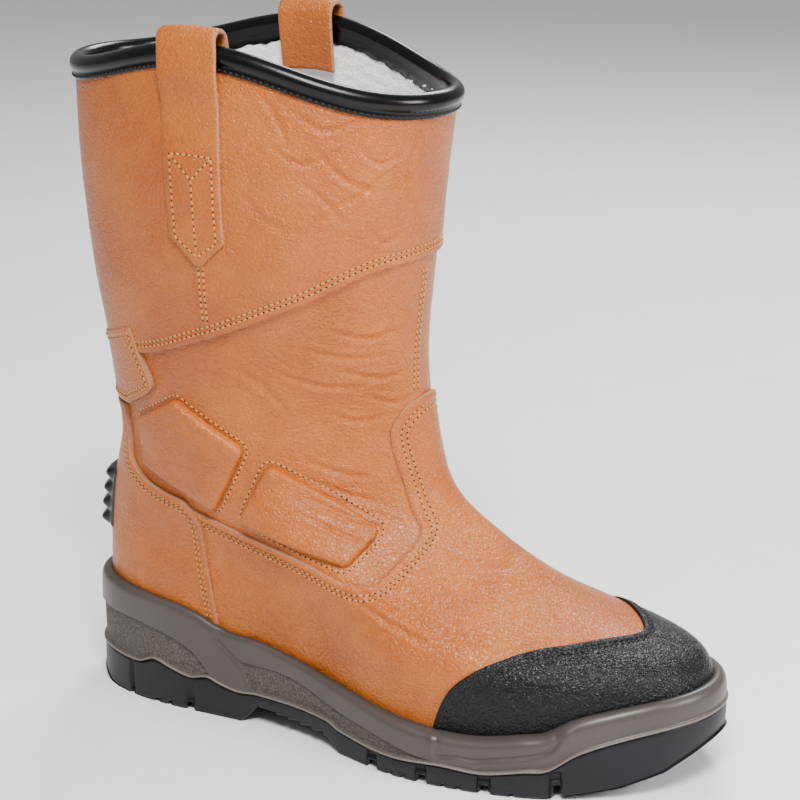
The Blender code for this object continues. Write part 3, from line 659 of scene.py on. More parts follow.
@dataclass
class Cut:
    """A net trimmed to where a field is below 0.

    Attributes hold the places of the points, the faces over them, and which points lie on the
    trimmed border.
    """

    net: Net
    measure: Field
    t: Array = field(init=False)
    angle: Array = field(init=False)
    value: Array = field(init=False)
    faces: list[tuple[int, ...]] = field(init=False)

    def at(self, t: Array, angle: Array) -> Array:
        """Field at places of the form."""
        return self.measure(self.net.last.point(t, angle))

    def pull(self, t: Array, angle: Array) -> tuple[Array, Array, Array]:
        """Steps in t and angle for each unit of the field, and the direction of its rise."""
        step = 0.002
        by_t, by_angle = self.net.last.slopes(t, angle)
        rise_t = (self.at(np.minimum(t + step, 1), angle) - self.at(np.maximum(t - step, 0), angle)) / (
            np.minimum(t + step, 1) - np.maximum(t - step, 0))
        rise_angle = (self.at(t, angle + step) - self.at(t, angle - step)) / (2 * step)
        tt = (by_t * by_t).sum(-1)
        aa = (by_angle * by_angle).sum(-1)
        ta = (by_t * by_angle).sum(-1)
        whole = tt * aa - ta ** 2 + 1e-18
        go_t = (aa * rise_t - ta * rise_angle) / whole
        go_angle = (tt * rise_angle - ta * rise_t) / whole
        strength = go_t * rise_t + go_angle * rise_angle + 1e-9
        uphill = by_t * go_t[:, None] + by_angle * go_angle[:, None]
        return go_t / strength, go_angle / strength, unit(uphill)

    def __post_init__(self) -> None:
        """Snap near points to the outline, then clip the faces that cross it."""
        net = self.net
        t, angle = net.places()
        value = self.at(t, angle)
        gap_t = float(np.median(np.diff(net.t)))
        gap_angle = float(np.median(np.diff(net.angle)))
        near = np.nonzero(np.abs(value) < 2 * MM)[0]
        go_t, go_angle, _ = self.pull(t[near], angle[near])
        close = (np.abs(value[near] * go_t) < 0.45 * gap_t) & (
            np.abs(value[near] * go_angle) < 0.45 * gap_angle)
        near, go_t, go_angle = near[close], go_t[close], go_angle[close]
        inner = (near >= len(net.angle)) & (near < len(t) - len(net.angle))
        near, go_t, go_angle = near[inner], go_t[inner], go_angle[inner]
        for _ in range(3):
            here = self.at(t[near], angle[near])
            t[near] = np.clip(t[near] - here * go_t, 0, 1)
            angle[near] -= here * go_angle
        value[near] = 0.0
        quads = np.array(net_faces(len(net.t), len(net.angle), net.closed))
        corner = value[quads]
        whole = (corner <= 0).all(axis=1) & (corner < 0).any(axis=1)
        crossed = quads[(corner > 0).any(axis=1) & (corner < 0).any(axis=1)].tolist()
        edges: dict[tuple[int, int], int] = {}
        for quad in crossed:
            for a, b in zip(quad, quad[1:] + quad[:1]):
                if value[a] * value[b] < 0:
                    edges.setdefault((min(a, b), max(a, b)), len(t) + len(edges))
        pairs = np.array(list(edges), int).reshape(-1, 2)
        first, second = pairs[:, 0], pairs[:, 1]
        turn = (angle[second] - angle[first] + math.pi) % (2 * math.pi) - math.pi
        climb = t[second] - t[first]
        falling = value[first] > 0
        s = close_in(np.zeros(len(pairs)), np.ones(len(pairs)),
                     lambda s: (self.at(t[first] + s * climb, angle[first] + s * turn) > 0) == falling, 12)
        self.t = np.concatenate([t, t[first] + s * climb])
        self.angle = np.concatenate([angle, angle[first] + s * turn])
        self.value = np.concatenate([value, np.zeros(len(pairs))])
        faces = [tuple(quad) for quad in quads[whole].tolist()]
        for quad in crossed:
            ring: list[int] = []
            for a, b in zip(quad, quad[1:] + quad[:1]):
                if value[a] <= 0:
                    ring.append(a)
                if value[a] * value[b] < 0:
                    ring.append(edges[(min(a, b), max(a, b))])
            if len(ring) > 2:
                faces.append(tuple(ring))
        used = sorted({corner for face in faces for corner in face})
        fresh = {old: new for new, old in enumerate(used)}
        self.faces = [tuple(fresh[corner] for corner in face) for face in faces]
        self.t, self.angle, self.value = self.t[used], self.angle[used], self.value[used]

    def border(self) -> list[tuple[int, int]]:
        """Edges on the trimmed border, in the order of their faces."""
        count: dict[tuple[int, int], int] = defaultdict(int)
        for face in self.faces:
            for a, b in zip(face, face[1:] + face[:1]):
                count[(min(a, b), max(a, b))] += 1
        found = []
        for face in self.faces:
            for a, b in zip(face, face[1:] + face[:1]):
                if count[(min(a, b), max(a, b))] == 1 and self.value[a] == 0 and self.value[b] == 0:
                    found.append((a, b))
        return found


def contours(net: Net, values: Array, level: float) -> list[Array]:
    """Lines on a net where a field has a level.

    Args:
        net: The net.
        values: Field at its points, row by row.
        level: Value to follow.

    Returns:
        Lines as arrays of t and angle.
    """
    rows, columns = len(net.t), len(net.angle)
    grid = values.reshape(rows, columns) - level
    spread = columns if net.closed else columns - 1
    step = float(net.angle[1] - net.angle[0])
    links: dict[tuple, list[tuple]] = defaultdict(list)
    spots: dict[tuple, tuple[float, float]] = {}

    def crossing(i: int, k: int, j: int, m: int) -> tuple | None:
        """Name of the crossing on the edge between two points, if there is one."""
        a, b = grid[i, k % columns], grid[j, m % columns]
        if (a > 0) == (b > 0):
            return None
        s = a / (a - b)
        name = (i, k % columns, j, m % columns)
        spots[name] = (net.t[i] + s * (net.t[j] - net.t[i]), net.angle[k % columns] + s * (m - k) * step)
        return name

    sign = grid > 0
    shifted = np.roll(sign, -1, axis=1)
    busy = (sign[:-1] != sign[1:]) | (shifted[:-1] != shifted[1:]) | (sign[:-1] != shifted[:-1])
    for i, k in zip(*np.nonzero(busy[:, :spread])):
        i, k = int(i), int(k)
        names = [crossing(i, k, i, k + 1), crossing(i, k + 1, i + 1, k + 1),
                 crossing(i + 1, k, i + 1, k + 1), crossing(i, k, i + 1, k)]
        names = [name for name in names if name]
        if len(names) == 2:
            links[names[0]].append(names[1])
            links[names[1]].append(names[0])
    lines = []
    left = set(links)
    while left:
        ends = [name for name in left if len(links[name]) == 1]
        here = min(ends) if ends else min(left)
        chain = [here]
        left.discard(here)
        while True:
            onward = [name for name in links[here] if name in left]
            if not onward:
                break
            here = onward[0]
            left.discard(here)
            chain.append(here)
        if len(chain) > 3:
            if not ends and chain[0] in links[chain[-1]]:
                chain.append(chain[0])
            line = np.array([spots[name] for name in chain])
            line[:, 1] = np.unwrap(line[:, 1])
            lines.append(line)
    return lines


@dataclass
class Panel:
    """A piece of leather sewn over the form, with a rolled edge."""

    net: Net
    measure: Field
    top: float
    base: float
    edge_round: float
    relief: "Relief"
    bulge: Field | None = None
    extra: Field | None = None
    cut: Cut = field(init=False)

    def __post_init__(self) -> None:
        """Trim the net to the panel."""
        self.cut = Cut(self.net, lambda points: self.measure(points) + self.edge_round)

    def height(self, points: Array) -> Array:
        """Height of the leather over the form.

        Args:
            points: Points on the form.

        Returns:
            Heights with the creases, the bulge by distance from the outline and the extras.
        """
        high = self.top + self.relief.height(points)
        if self.bulge is not None:
            high = high + self.bulge(-self.measure(points))
        if self.extra is not None:
            high = high + self.extra(points)
        return high

    def shape(self) -> Shape:
        """Mesh of the panel, marked with 1 on its raw edge."""
        last = self.net.last
        cut = self.cut
        points = last.point(cut.t, cut.angle)
        normals = last.normal(cut.t, cut.angle)
        high = self.height(points)
        made = Shape()
        made.add(points + normals * high[:, None], cut.faces, raw_edge=0.0)
        border = cut.border()
        ring = sorted({corner for edge in border for corner in edge})
        if not ring:
            return made
        spot = {corner: k for k, corner in enumerate(ring)}
        _, _, outward = cut.pull(cut.t[ring], cut.angle[ring])
        steps = 4
        above = None
        for row in range(1, steps + 2):
            turn = min(row, steps) / steps * math.pi / 2
            drop = self.edge_round * (1 - math.cos(turn))
            level = high[ring] - drop if row <= steps else np.full(len(ring), self.base)
            rim = points[ring] + normals[ring] * level[:, None]
            rim = rim + outward * self.edge_round * math.sin(turn)
            start = made.size
            made.add(rim, [], raw_edge=1.0 if row > 1 else 0.0)
            for a, b in border:
                upper_a = a if above is None else above + spot[a]
                upper_b = b if above is None else above + spot[b]
                made.faces.append((upper_b, upper_a, start + spot[a], start + spot[b]))
                made.slots.append(0)
            above = start
        return made


@dataclass
class Stitching:
    """Rows of stitches laid along lines, gathered into one mesh."""

    pitch: float = 2.7 * MM
    length: float = 2.0 * MM
    radius: float = 0.42 * MM
    lift: float = 0.10 * MM
    hole: float = 0.62 * MM
    threads: Shape = field(default_factory=Shape)
    # Dark cones of painted shade in the needle holes
    hole_shades: Shape = field(default_factory=Shape)
    rings: int = 5
    sides: int = 6

    def sew(self, points: Array, normals: Array) -> None:
        """Lay a row of stitches along a line.

        Args:
            points: Points of the line on the leather's surface.
            normals: Unit normals of the leather there.
        """
        length = distances(points)
        count = int(length[-1] / self.pitch)
        if count < 1:
            return
        pitch = length[-1] / count

        def read(values: Array, at: Array) -> Array:
            """Values at distances along the line."""
            return np.stack([np.interp(at, length, values[:, i]) for i in range(3)], -1)

        for k in range(count):
            middle = (k + 0.5) * pitch
            at = middle + np.linspace(-0.5, 0.5, self.rings) * self.length
            spine = read(points, at)
            up = unit(read(normals, at))
            run = unit(np.gradient(spine, axis=0))
            across = unit(np.cross(run, up))
            share = np.linspace(-1, 1, self.rings)
            rise = self.lift - (self.lift + self.radius) * np.abs(share) ** 3
            size = self.radius * np.sqrt(1 - 0.75 * share ** 4)
            turns = around(self.sides)
            tube = (
                spine[:, None]
                + up[:, None] * (rise[:, None] + size[:, None] * np.sin(turns))[..., None]
                + across[:, None] * (size[:, None] * 1.15 * np.cos(turns))[..., None]
            )
            faces = net_faces(self.rings, self.sides)
            faces += [tuple(range(self.sides))[::-1],
                      tuple(range(self.sides * (self.rings - 1), self.sides * self.rings))]
            self.threads.add(tube.reshape(-1, 3), faces)
            hole = np.array([k * pitch])
            # Each needle hole gets a dark cone of painted shade
            self.punch(read(points, hole)[0], unit(read(normals, hole))[0])

    def punch(self, point: Array, normal: Array) -> None:
        """Mark a needle hole with a small dark cone of painted shade."""
        side = unit(np.cross(normal, (0.3, 0.2, 0.93)))
        other = np.cross(normal, side)
        corners_around = 6
        turns = around(corners_around)
        rim = point + self.hole * (np.cos(turns)[:, None] * side + np.sin(turns)[:, None] * other)
        rim = rim - normal * 0.05 * MM
        tip = point + normal * 0.10 * MM
        self.hole_shades.add(np.vstack([rim, tip]), [
            (i, (i + 1) % corners_around, corners_around) for i in range(corners_around)])


def linear(code: str) -> tuple[float, float, float, float]:
    """Turn an sRGB hex value into a linear colour."""
    channels = [int(code[i:i + 2], 16) / 255 for i in (1, 3, 5)]
    return tuple(c / 12.92 if c <= 0.04045 else ((c + 0.055) / 1.055) ** 2.4 for c in channels) + (1.0,)


def fill(node: bpy.types.Node, inputs: dict) -> None:
    """Link or set the inputs of a node.

    Args:
        node: The node.
        inputs: Values or sockets by input name or index.
    """
    for key, value in inputs.items():
        if isinstance(value, bpy.types.NodeSocket):
            node.id_data.links.new(value, node.inputs[key])
        else:
            node.inputs[key].default_value = value


def add_node(tree: bpy.types.NodeTree, kind: str, inputs: dict | None = None,
             **settings: object) -> bpy.types.Node:
    """Add a node with its settings and links.

    Args:
        tree: Node tree of the material.
        kind: Type of the shader node.
        inputs: Values or sockets by input name or index.
        **settings: Properties of the node.

    Returns:
        The new node.
    """
    made = tree.nodes.new("ShaderNode" + kind)
    for key, value in settings.items():
        setattr(made, key, value)
    fill(made, inputs or {})
    return made


def start_material(name: str) -> tuple[bpy.types.Material, bpy.types.NodeTree, bpy.types.Node,
                                       bpy.types.NodeSocket]:
    """Start a material with its shader.

    Args:
        name: Name of the material.

    Returns:
        The material, its node tree, its shader and the socket of places on the object.
    """
    made = bpy.data.materials.new(name)
    made.use_nodes = True
    tree = made.node_tree
    where = add_node(tree, "TexCoord").outputs["Object"]
    return made, tree, tree.nodes["Principled BSDF"], where


def per_metre(millimetres: float) -> float:
    """Scale of a pattern whose cells are this many millimetres wide."""
    return 1 / (millimetres * MM)


@dataclass(frozen=True)
class GrainLeather:
    """Full-grain cow leather, dyed through and lightly waxed.

    The fine pebble breaks up the wax's soft highlights, and the cut edges show the paler inside.
    """

    name: str
    colour: str
    shade: str
    light: str
    edge: str
    pebble_mm: float
    pebble_depth: float
    roughness: float
    shine: float
    coat: float
    depth_mm: float
    wear: float
    patch_mm: float = 38
    bend_mm: float = 5
    fine_mm: float = 0.9
    wrinkle_mm: float = 3.5
    wear_mm: float = 8
    drift_mm: float = 14

    def make(self) -> bpy.types.Material:
        """Build the material."""
        made, tree, shader, where = start_material(self.name)
        patches = add_node(tree, "TexNoise", {
            "Vector": where, "Scale": per_metre(self.patch_mm), "Detail": 5.0, "Roughness": 0.6})
        tone = add_node(tree, "ValToRGB", {"Fac": patches.outputs["Fac"]})
        tone.color_ramp.elements[0].position = 0.33
        tone.color_ramp.elements[0].color = linear(self.shade)
        tone.color_ramp.elements[1].position = 0.68
        tone.color_ramp.elements[1].color = linear(self.light)
        middle = tone.color_ramp.elements.new(0.5)
        middle.color = linear(self.colour)
        warp = add_node(tree, "TexNoise", {
            "Vector": where, "Scale": per_metre(self.bend_mm), "Detail": 2.0})
        bent = add_node(tree, "VectorMath", {
            0: warp.outputs["Color"], 1: (2.2 * MM,) * 3, 2: where}, operation="MULTIPLY_ADD")
        pebble = add_node(tree, "TexVoronoi", {
            "Vector": bent.outputs[0], "Scale": per_metre(self.pebble_mm)},
            feature="SMOOTH_F1")
        fine = add_node(tree, "TexNoise", {
            "Vector": where, "Scale": per_metre(self.fine_mm), "Detail": 3.0})
        wrinkle = add_node(tree, "TexNoise", {
            "Vector": where, "Scale": per_metre(self.wrinkle_mm), "Detail": 5.0, "Roughness": 0.6,
            "Distortion": 0.8})
        lines = add_node(tree, "TexVoronoi", {
            "Vector": bent.outputs[0], "Scale": per_metre(self.pebble_mm * 1.5)},
            feature="DISTANCE_TO_EDGE")
        fold = add_node(tree, "MapRange", {
            "Value": lines.outputs["Distance"], "From Max": 0.16})
        pores = add_node(tree, "MixRGB", {
            "Fac": 0.22, "Color1": tone.outputs["Color"], "Color2": pebble.outputs["Distance"]},
            blend_type="MULTIPLY")
        rim = add_node(tree, "Attribute", attribute_name="raw_edge")
        edged = add_node(tree, "MixRGB", {
            "Fac": rim.outputs["Fac"], "Color1": pores.outputs["Color"], "Color2": linear(self.edge)})
        spread = add_node(tree, "MapRange", {
            "Value": wrinkle.outputs["Fac"], "From Min": 0.3, "From Max": 0.7,
            "To Min": self.roughness - 0.07, "To Max": self.roughness + 0.10})
        rough = add_node(tree, "MixRGB", {
            "Fac": rim.outputs["Fac"], "Color1": spread.outputs["Result"],
            "Color2": (0.85, 0.85, 0.85, 1.0)})
        flat = add_node(tree, "VectorMath", {
            0: where, 1: (1.0, 1.0, 1.8)}, operation="MULTIPLY")
        drift = add_node(tree, "TexNoise", {
            "Vector": where, "Scale": per_metre(self.drift_mm), "Detail": 3.0})
        pulled = add_node(tree, "VectorMath", {
            0: drift.outputs["Color"], 1: (16 * MM,) * 3, 2: flat.outputs[0]},
            operation="MULTIPLY_ADD")
        wear = add_node(tree, "TexVoronoi", {
            "Vector": pulled.outputs[0], "Scale": per_metre(self.wear_mm)},
            feature="DISTANCE_TO_EDGE")
        line = add_node(tree, "MapRange", {
            "Value": wear.outputs["Distance"], "From Max": 0.13})
        calm = add_node(tree, "MapRange", {
            "Value": patches.outputs["Fac"], "From Min": 0.46, "From Max": 0.56})
        worn = add_node(tree, "Math", {
            0: line.outputs["Result"], 1: calm.outputs["Result"]}, operation="MAXIMUM")
        height = add_node(tree, "Math", {
            0: pebble.outputs["Distance"], 1: self.pebble_depth}, operation="MULTIPLY")
        layers = ((fine.outputs["Fac"], 0.25), (wrinkle.outputs["Fac"], 0.4),
                  (fold.outputs["Result"], 0.34), (worn.outputs[0], self.wear))
        for layer, weight in layers:
            height = add_node(tree, "Math", {
                0: layer, 1: weight, 2: height.outputs[0]}, operation="MULTIPLY_ADD")
        bump = add_node(tree, "Bump", {
            "Height": height.outputs[0], "Strength": 1.0, "Distance": self.depth_mm * MM})
        fill(shader, {
            "Base Color": edged.outputs["Color"], "Roughness": rough.outputs["Color"],
            "Normal": bump.outputs["Normal"], "Specular IOR Level": self.shine,
            "Coat Weight": self.coat, "Coat Roughness": 0.28})
        return made


@dataclass(frozen=True)
class PlainFinish:
    """A moulded, coated or spun surface with a fine grain of its own."""

    name: str
    colour: str
    roughness: float
    grain_mm: float
    grain_depth_mm: float
    strength: float = 0.5
    shine: float = 0.5
    coat: float = 0.0
    sheen: float = 0.0

    def make(self) -> bpy.types.Material:
        """Build the material."""
        made, tree, shader, where = start_material(self.name)
        grain = add_node(tree, "TexNoise", {
            "Vector": where, "Scale": per_metre(self.grain_mm), "Detail": 4.0, "Roughness": 0.6})
        cloud = add_node(tree, "TexNoise", {
            "Vector": where, "Scale": per_metre(30), "Detail": 3.0})
        tone = add_node(tree, "MixRGB", {
            "Fac": 0.25, "Color1": linear(self.colour), "Color2": cloud.outputs["Fac"]},
            blend_type="OVERLAY")
        rough = add_node(tree, "MapRange", {
            "Value": cloud.outputs["Fac"], "To Min": self.roughness - 0.06,
            "To Max": self.roughness + 0.06})
        bump = add_node(tree, "Bump", {
            "Height": grain.outputs["Fac"], "Strength": self.strength,
            "Distance": self.grain_depth_mm * MM})
        fill(shader, {
            "Base Color": tone.outputs["Color"], "Roughness": rough.outputs["Result"],
            "Normal": bump.outputs["Normal"], "Specular IOR Level": self.shine,
            "Coat Weight": self.coat, "Sheen Weight": self.sheen})
        return made


@dataclass(frozen=True)
class MouldedFoam:
    """Moulded polyurethane with a skin.

    The smooth bands shine softly, the sunk ones are coarsely grained and darker, and the parting
    bead along the bottom is paler.
    """

    name: str
    colour: str
    sunk: str
    pale_tone: str
    grain_mm: float

    def make(self) -> bpy.types.Material:
        """Build the material."""
        made, tree, shader, where = start_material(self.name)
        grained = add_node(tree, "Attribute", attribute_name="grained").outputs["Fac"]
        bead = add_node(tree, "Attribute", attribute_name="bead").outputs["Fac"]
        cloud = add_node(tree, "TexNoise", {
            "Vector": where, "Scale": per_metre(24), "Detail": 4.0})
        grain = add_node(tree, "TexNoise", {
            "Vector": where, "Scale": per_metre(self.grain_mm), "Detail": 2.0, "Roughness": 0.7})
        skin = add_node(tree, "MixRGB", {
            "Fac": 0.25, "Color1": linear(self.colour), "Color2": cloud.outputs["Fac"]},
            blend_type="OVERLAY")
        specks = add_node(tree, "MapRange", {
            "Value": grain.outputs["Fac"], "From Min": 0.38, "From Max": 0.68, "To Max": 0.65})
        sunk = add_node(tree, "MixRGB", {
            "Fac": specks.outputs["Result"], "Color1": linear(self.sunk),
            "Color2": linear(self.pale_tone)})
        mixed = add_node(tree, "MixRGB", {
            "Fac": grained, "Color1": skin.outputs["Color"], "Color2": sunk.outputs["Color"]})
        # The parting bead is drawn in the paler tone
        pale_tone = add_node(tree, "MixRGB", {
            "Fac": bead, "Color1": mixed.outputs["Color"], "Color2": linear(self.pale_tone)})
        rough = add_node(tree, "MapRange", {
            "Value": grained, "To Min": 0.36, "To Max": 0.7})
        coarse = add_node(tree, "Math", {0: grained, 1: bead}, operation="MAXIMUM")
        height = add_node(tree, "Math", {
            0: coarse.outputs[0], 1: 0.92, 2: 0.08}, operation="MULTIPLY_ADD")
        scaled = add_node(tree, "Math", {
            0: grain.outputs["Fac"], 1: height.outputs[0]}, operation="MULTIPLY")
        bump = add_node(tree, "Bump", {
            "Height": scaled.outputs[0], "Strength": 0.8, "Distance": 0.7 * MM})
        fill(shader, {
            "Base Color": pale_tone.outputs["Color"], "Roughness": rough.outputs["Result"],
            "Normal": bump.outputs["Normal"], "Specular IOR Level": 0.4})
        return made


# Dyed and lightly waxed hide: warm tan whose soft highlights break up over the pebble
TAN = GrainLeather("waxed_full_grain_cowhide", "#B45E1D", "#A95417", "#BD6824", "#A06E50",
                   1.25, 0.7, 0.35, 0.38, 0.05, 0.42, 0.36)
# Deeply embossed hide: near black, each pebble with a small highlight of its own
BLACK_HIDE = GrainLeather("pebbled_black_cowhide", "#0A0A0C", "#070708", "#0F0F12", "#0A0A0B",
                          1.0, 1.3, 0.34, 0.28, 0.0, 0.30, 0.0)
# Thin polished leather: one clear highlight runs along the roll
BINDING = PlainFinish("polished_black_binding_leather", "#040405", 0.24, 1.2, 0.08, 0.3, 0.28)
# Foam with a moulded skin: smooth taupe bands over matt, speckled ones. The grain is drawn twice
# as coarse as real, since a pixel is about 0.4 mm
MIDSOLE = MouldedFoam("moulded_polyurethane", "#423C39", "#322D2B", "#6E6760", 0.8)
# Rubber from a blasted mould: dark, with a wide dull sheen
RUBBER = PlainFinish("moulded_black_rubber", "#101016", 0.45, 0.8, 0.08, 0.4, 0.3)
# Rubber from a polished mould: glossy ribs
SPUR_RUBBER = PlainFinish("polished_black_rubber", "#101014", 0.28, 0.8, 0.04, 0.3, 0.4)
# Brushed knitted pile: white without a highlight, bright where it turns away
FLEECE = PlainFinish("brushed_white_fleece", "#F6F6F5", 0.95, 1.4, 0.9, 1.0, sheen=0.5)
# Twisted filament: silky gold against the tan
GOLD_THREAD = PlainFinish("golden_polyester_thread", "#B97C36", 0.5, 0.25, 0.05, 0.6, sheen=0.2)
# The same in black: it shows by its gloss alone
BLACK_THREAD = PlainFinish("black_polyester_thread", "#060607", 0.5, 0.25, 0.05, 0.6, 0.4)
# Painted shade in a needle hole: a dark brown dot between two stitches
NEEDLE_HOLE_SHADE = PlainFinish("shadow_in_needle_hole", "#3A1E0E", 0.9, 0.5, 0.02, 0.2, 0.1)
# Painted board: pale and even
FLOOR = PlainFinish("pale_studio_floor", "#F4F4F4", 0.6, 2.0, 0.01, 0.1)


# Seams in side view, as shares of sole length and instep height
COUNTER_SEAM = ((0.266, 0.10), (0.260, 0.31), (0.252, 0.46), (0.241, 0.58), (0.238, 0.68),
                (0.230, 0.735), (0.210, 0.78))
COUNTER_TOP = ((0.210, 0.78), (0.166, 0.80), (0.127, 0.838), (0.104, 0.887), (0.097, 0.99), (0.097, 1.08))
VAMP_TOP = ((0.210, 0.760), (0.306, 0.705), (0.410, 0.655), (0.485, 0.608), (0.515, 0.608),
            (0.533, 0.625), (0.559, 0.72), (0.561, 0.745), (0.541, 0.815), (0.525, 0.91),
            (0.512, 1.02), (0.512, 1.095), (0.545, 1.19), (0.70, 1.24))

# Edge of the toe cap: angle around the foot from its outer side and distance from the heel in mm
CAP_EDGE = ((0, 193.5), (12.7, 197.4), (23.2, 202.9), (31.6, 211.9), (39.2, 222.3), (48.2, 233.8),
            (58.8, 247.1), (79.3, 262.1), (95.0, 267.0), (112.0, 261.0), (129.0, 246.0),
            (141.0, 231.0), (149.0, 219.0), (157.0, 209.0), (168.0, 199.0), (180.0, 194.0))
PAD_REAR = ((0.134, 1.058), (0.216, 1.164), (0.324, 1.015), (0.271, 0.772), (0.139, 0.885))
PAD_FRONT = ((0.355, 0.970), (0.511, 0.765), (0.507, 0.734), (0.482, 0.649), (0.313, 0.752))

# The same on the leg, as shares of the shaft's depth from its axis and of its height
LEG_EDGE = ((-0.90, 0.13), (-0.188, 0.247), (0.038, 0.322), (0.33, 0.442), (0.515, 0.53),
            (0.90, 0.58))
BACK_STAY = ((-0.90, 0.08), (-0.228, 0.315), (-0.20, 0.238), (-0.166, 0.158), (-0.174, 0.138),
             (-0.28, 0.075), (-0.90, 0.06))

# Side view of the bands moulded on the sole's wall, in millimetres from the heel and the ground
HEEL_BAND = ((-5, 38.9), (13.4, 38.9), (29.5, 39.1), (42.7, 37.5), (54.4, 35.1), (66.7, 29.6),
             (74.3, 20.9), (79.0, 8.0))
STRUT_EDGE = ((74, 50), (79.1, 38.2), (84.9, 33.1), (92.1, 26.7), (97.3, 15.5), (100.0, 6.0))
FRONT_BAND = ((92.1, 29.0), (97.6, 29.0), (114.5, 28.6), (130.0, 25.1), (146.3, 20.5),
              (167.8, 16.9), (189.3, 12.1), (204.0, 10.6), (219.0, 6.0))
TOE_CREASE = ((200.0, 14.2), (208.3, 15.4), (217.9, 15.3), (227.6, 17.2), (239.9, 19.6),
              (248.1, 22.8), (251.5, 27.2), (253.0, 32.0))

# Cuts of the tread: middle from the heel, half-width, depth and run up the wall, in millimetres
NOTCHES = (
    (31.0, 1.3, 3.0, 17.0),
    (46.5, 1.6, 1.3, 3.0),
    (53.5, 1.4, 1.6, 3.5),
    (64.8, 2.4, 3.6, 15.0),
    (167.3, 2.5, 3.8, 9.0),
    (176.9, 1.2, 1.3, 3.0),
    (183.6, 1.1, 1.3, 3.0),
    (192.6, 2.4, 3.8, 9.0),
    (203.0, 1.1, 1.3, 3.0),
    (209.9, 1.1, 1.5, 3.0),
    (221.2, 2.7, 3.9, 9.0),
    (233.1, 1.1, 1.4, 3.0),
    (250.9, 2.2, 5.4, 12.0),
)
CENTRE_BARS = (0.08, 0.19, 0.53, 0.59, 0.68, 0.75, 0.80)
TEETH_START = 110.5
TOOTH_PITCH = 7.0
TEETH = 5

# Nets over the form: height shares from and to, columns, angles in degrees from and to
NETS = {
    "quarter": (0.17, 0.86, 440, 0, 360),
    "lining": (0.01, 0.985, 250, 0, 360),
    "leg_panel": (0.50, 1.0, 400, 0, 360),
    "back_stay": (0.50, 0.84, 150, -75, 75),
    "heel_counter": (0.0, 0.72, 240, -80, 80),
    "vamp": (0.0, 0.78, 560, 38, 322),
    "toe_cap": (0.0, 0.56, 420, 75, 285),
    "pads_outer": (0.20, 0.76, 300, 20, 160),
    "pads_inner": (0.20, 0.76, 300, 200, 340),
}

# Rows of stitches: distance from the piece's outline in millimetres, below 0 inside it
SEAM_ROWS = {
    "leg_panel": (-2.9, -5.0),
    "back_stay": (-2.4, -4.2),
    "heel_counter": (-3.2, -5.2),
    "vamp": (-3.8, -6.0),
    "toe_cap": (-2.6, -4.4),
    "pads": (1.8,),
}

# Creases: three places as angle around the boot and height in millimetres, depth and width
CREASE_ROWS = (
    # In front of the strap, slanting over the upper shaft
    (((108, 292), (114, 280), (118, 268)), 0.68, 1.4),
    (((112, 270), (122, 262), (134, 268)), 0.77, 1.3),
    (((118, 284), (128, 276), (140, 281)), 0.77, 1.3),
    (((120, 256), (130, 247), (138, 236)), 0.68, 1.5),
    (((126, 268), (136, 256), (148, 250)), 0.85, 1.5),
    (((132, 244), (142, 249), (153, 259)), 0.77, 1.4),
    (((138, 272), (147, 262), (158, 266)), 0.68, 1.3),
    (((144, 238), (152, 228), (163, 232)), 0.68, 1.5),
    (((150, 276), (154, 262), (155, 246)), 0.59, 1.3),
    (((163, 274), (161, 256), (165, 238)), 0.59, 1.6),
    (((104, 250), (112, 238), (124, 232)), 0.59, 1.5),
    # Across the lower shaft and its front
    (((128, 189), (146, 184), (164, 188)), 0.77, 1.4),
    (((118, 180), (136, 175), (156, 176)), 0.68, 1.4),
    (((132, 169), (148, 165), (168, 168)), 0.77, 1.5),
    (((110, 168), (124, 162), (140, 161)), 0.59, 1.4),
    (((140, 157), (152, 153), (163, 155)), 0.68, 1.4),
    (((122, 150), (134, 145), (148, 147)), 0.59, 1.4),
    (((96, 172), (106, 160), (112, 148)), 0.51, 1.8),
    # Fanning out from the front patch
    (((112, 128), (122, 122), (134, 119)), 0.68, 1.3),
    (((110, 120), (122, 113), (134, 108)), 0.68, 1.3),
    (((109, 112), (118, 104), (128, 98)), 0.68, 1.3),
    (((106, 104), (112, 97), (119, 91)), 0.59, 1.2),
    # Down the side of the vamp
    (((98, 76), (104, 66), (112, 58)), 0.59, 1.5),
    (((103, 79), (110, 68), (119, 61)), 0.59, 1.5),
    (((109, 74), (117, 65), (127, 60)), 0.51, 1.5),
    # Over the instep
    (((150, 104), (164, 98), (176, 98)), 0.59, 2.2),
    (((140, 90), (156, 84), (172, 84)), 0.59, 2.2),
)


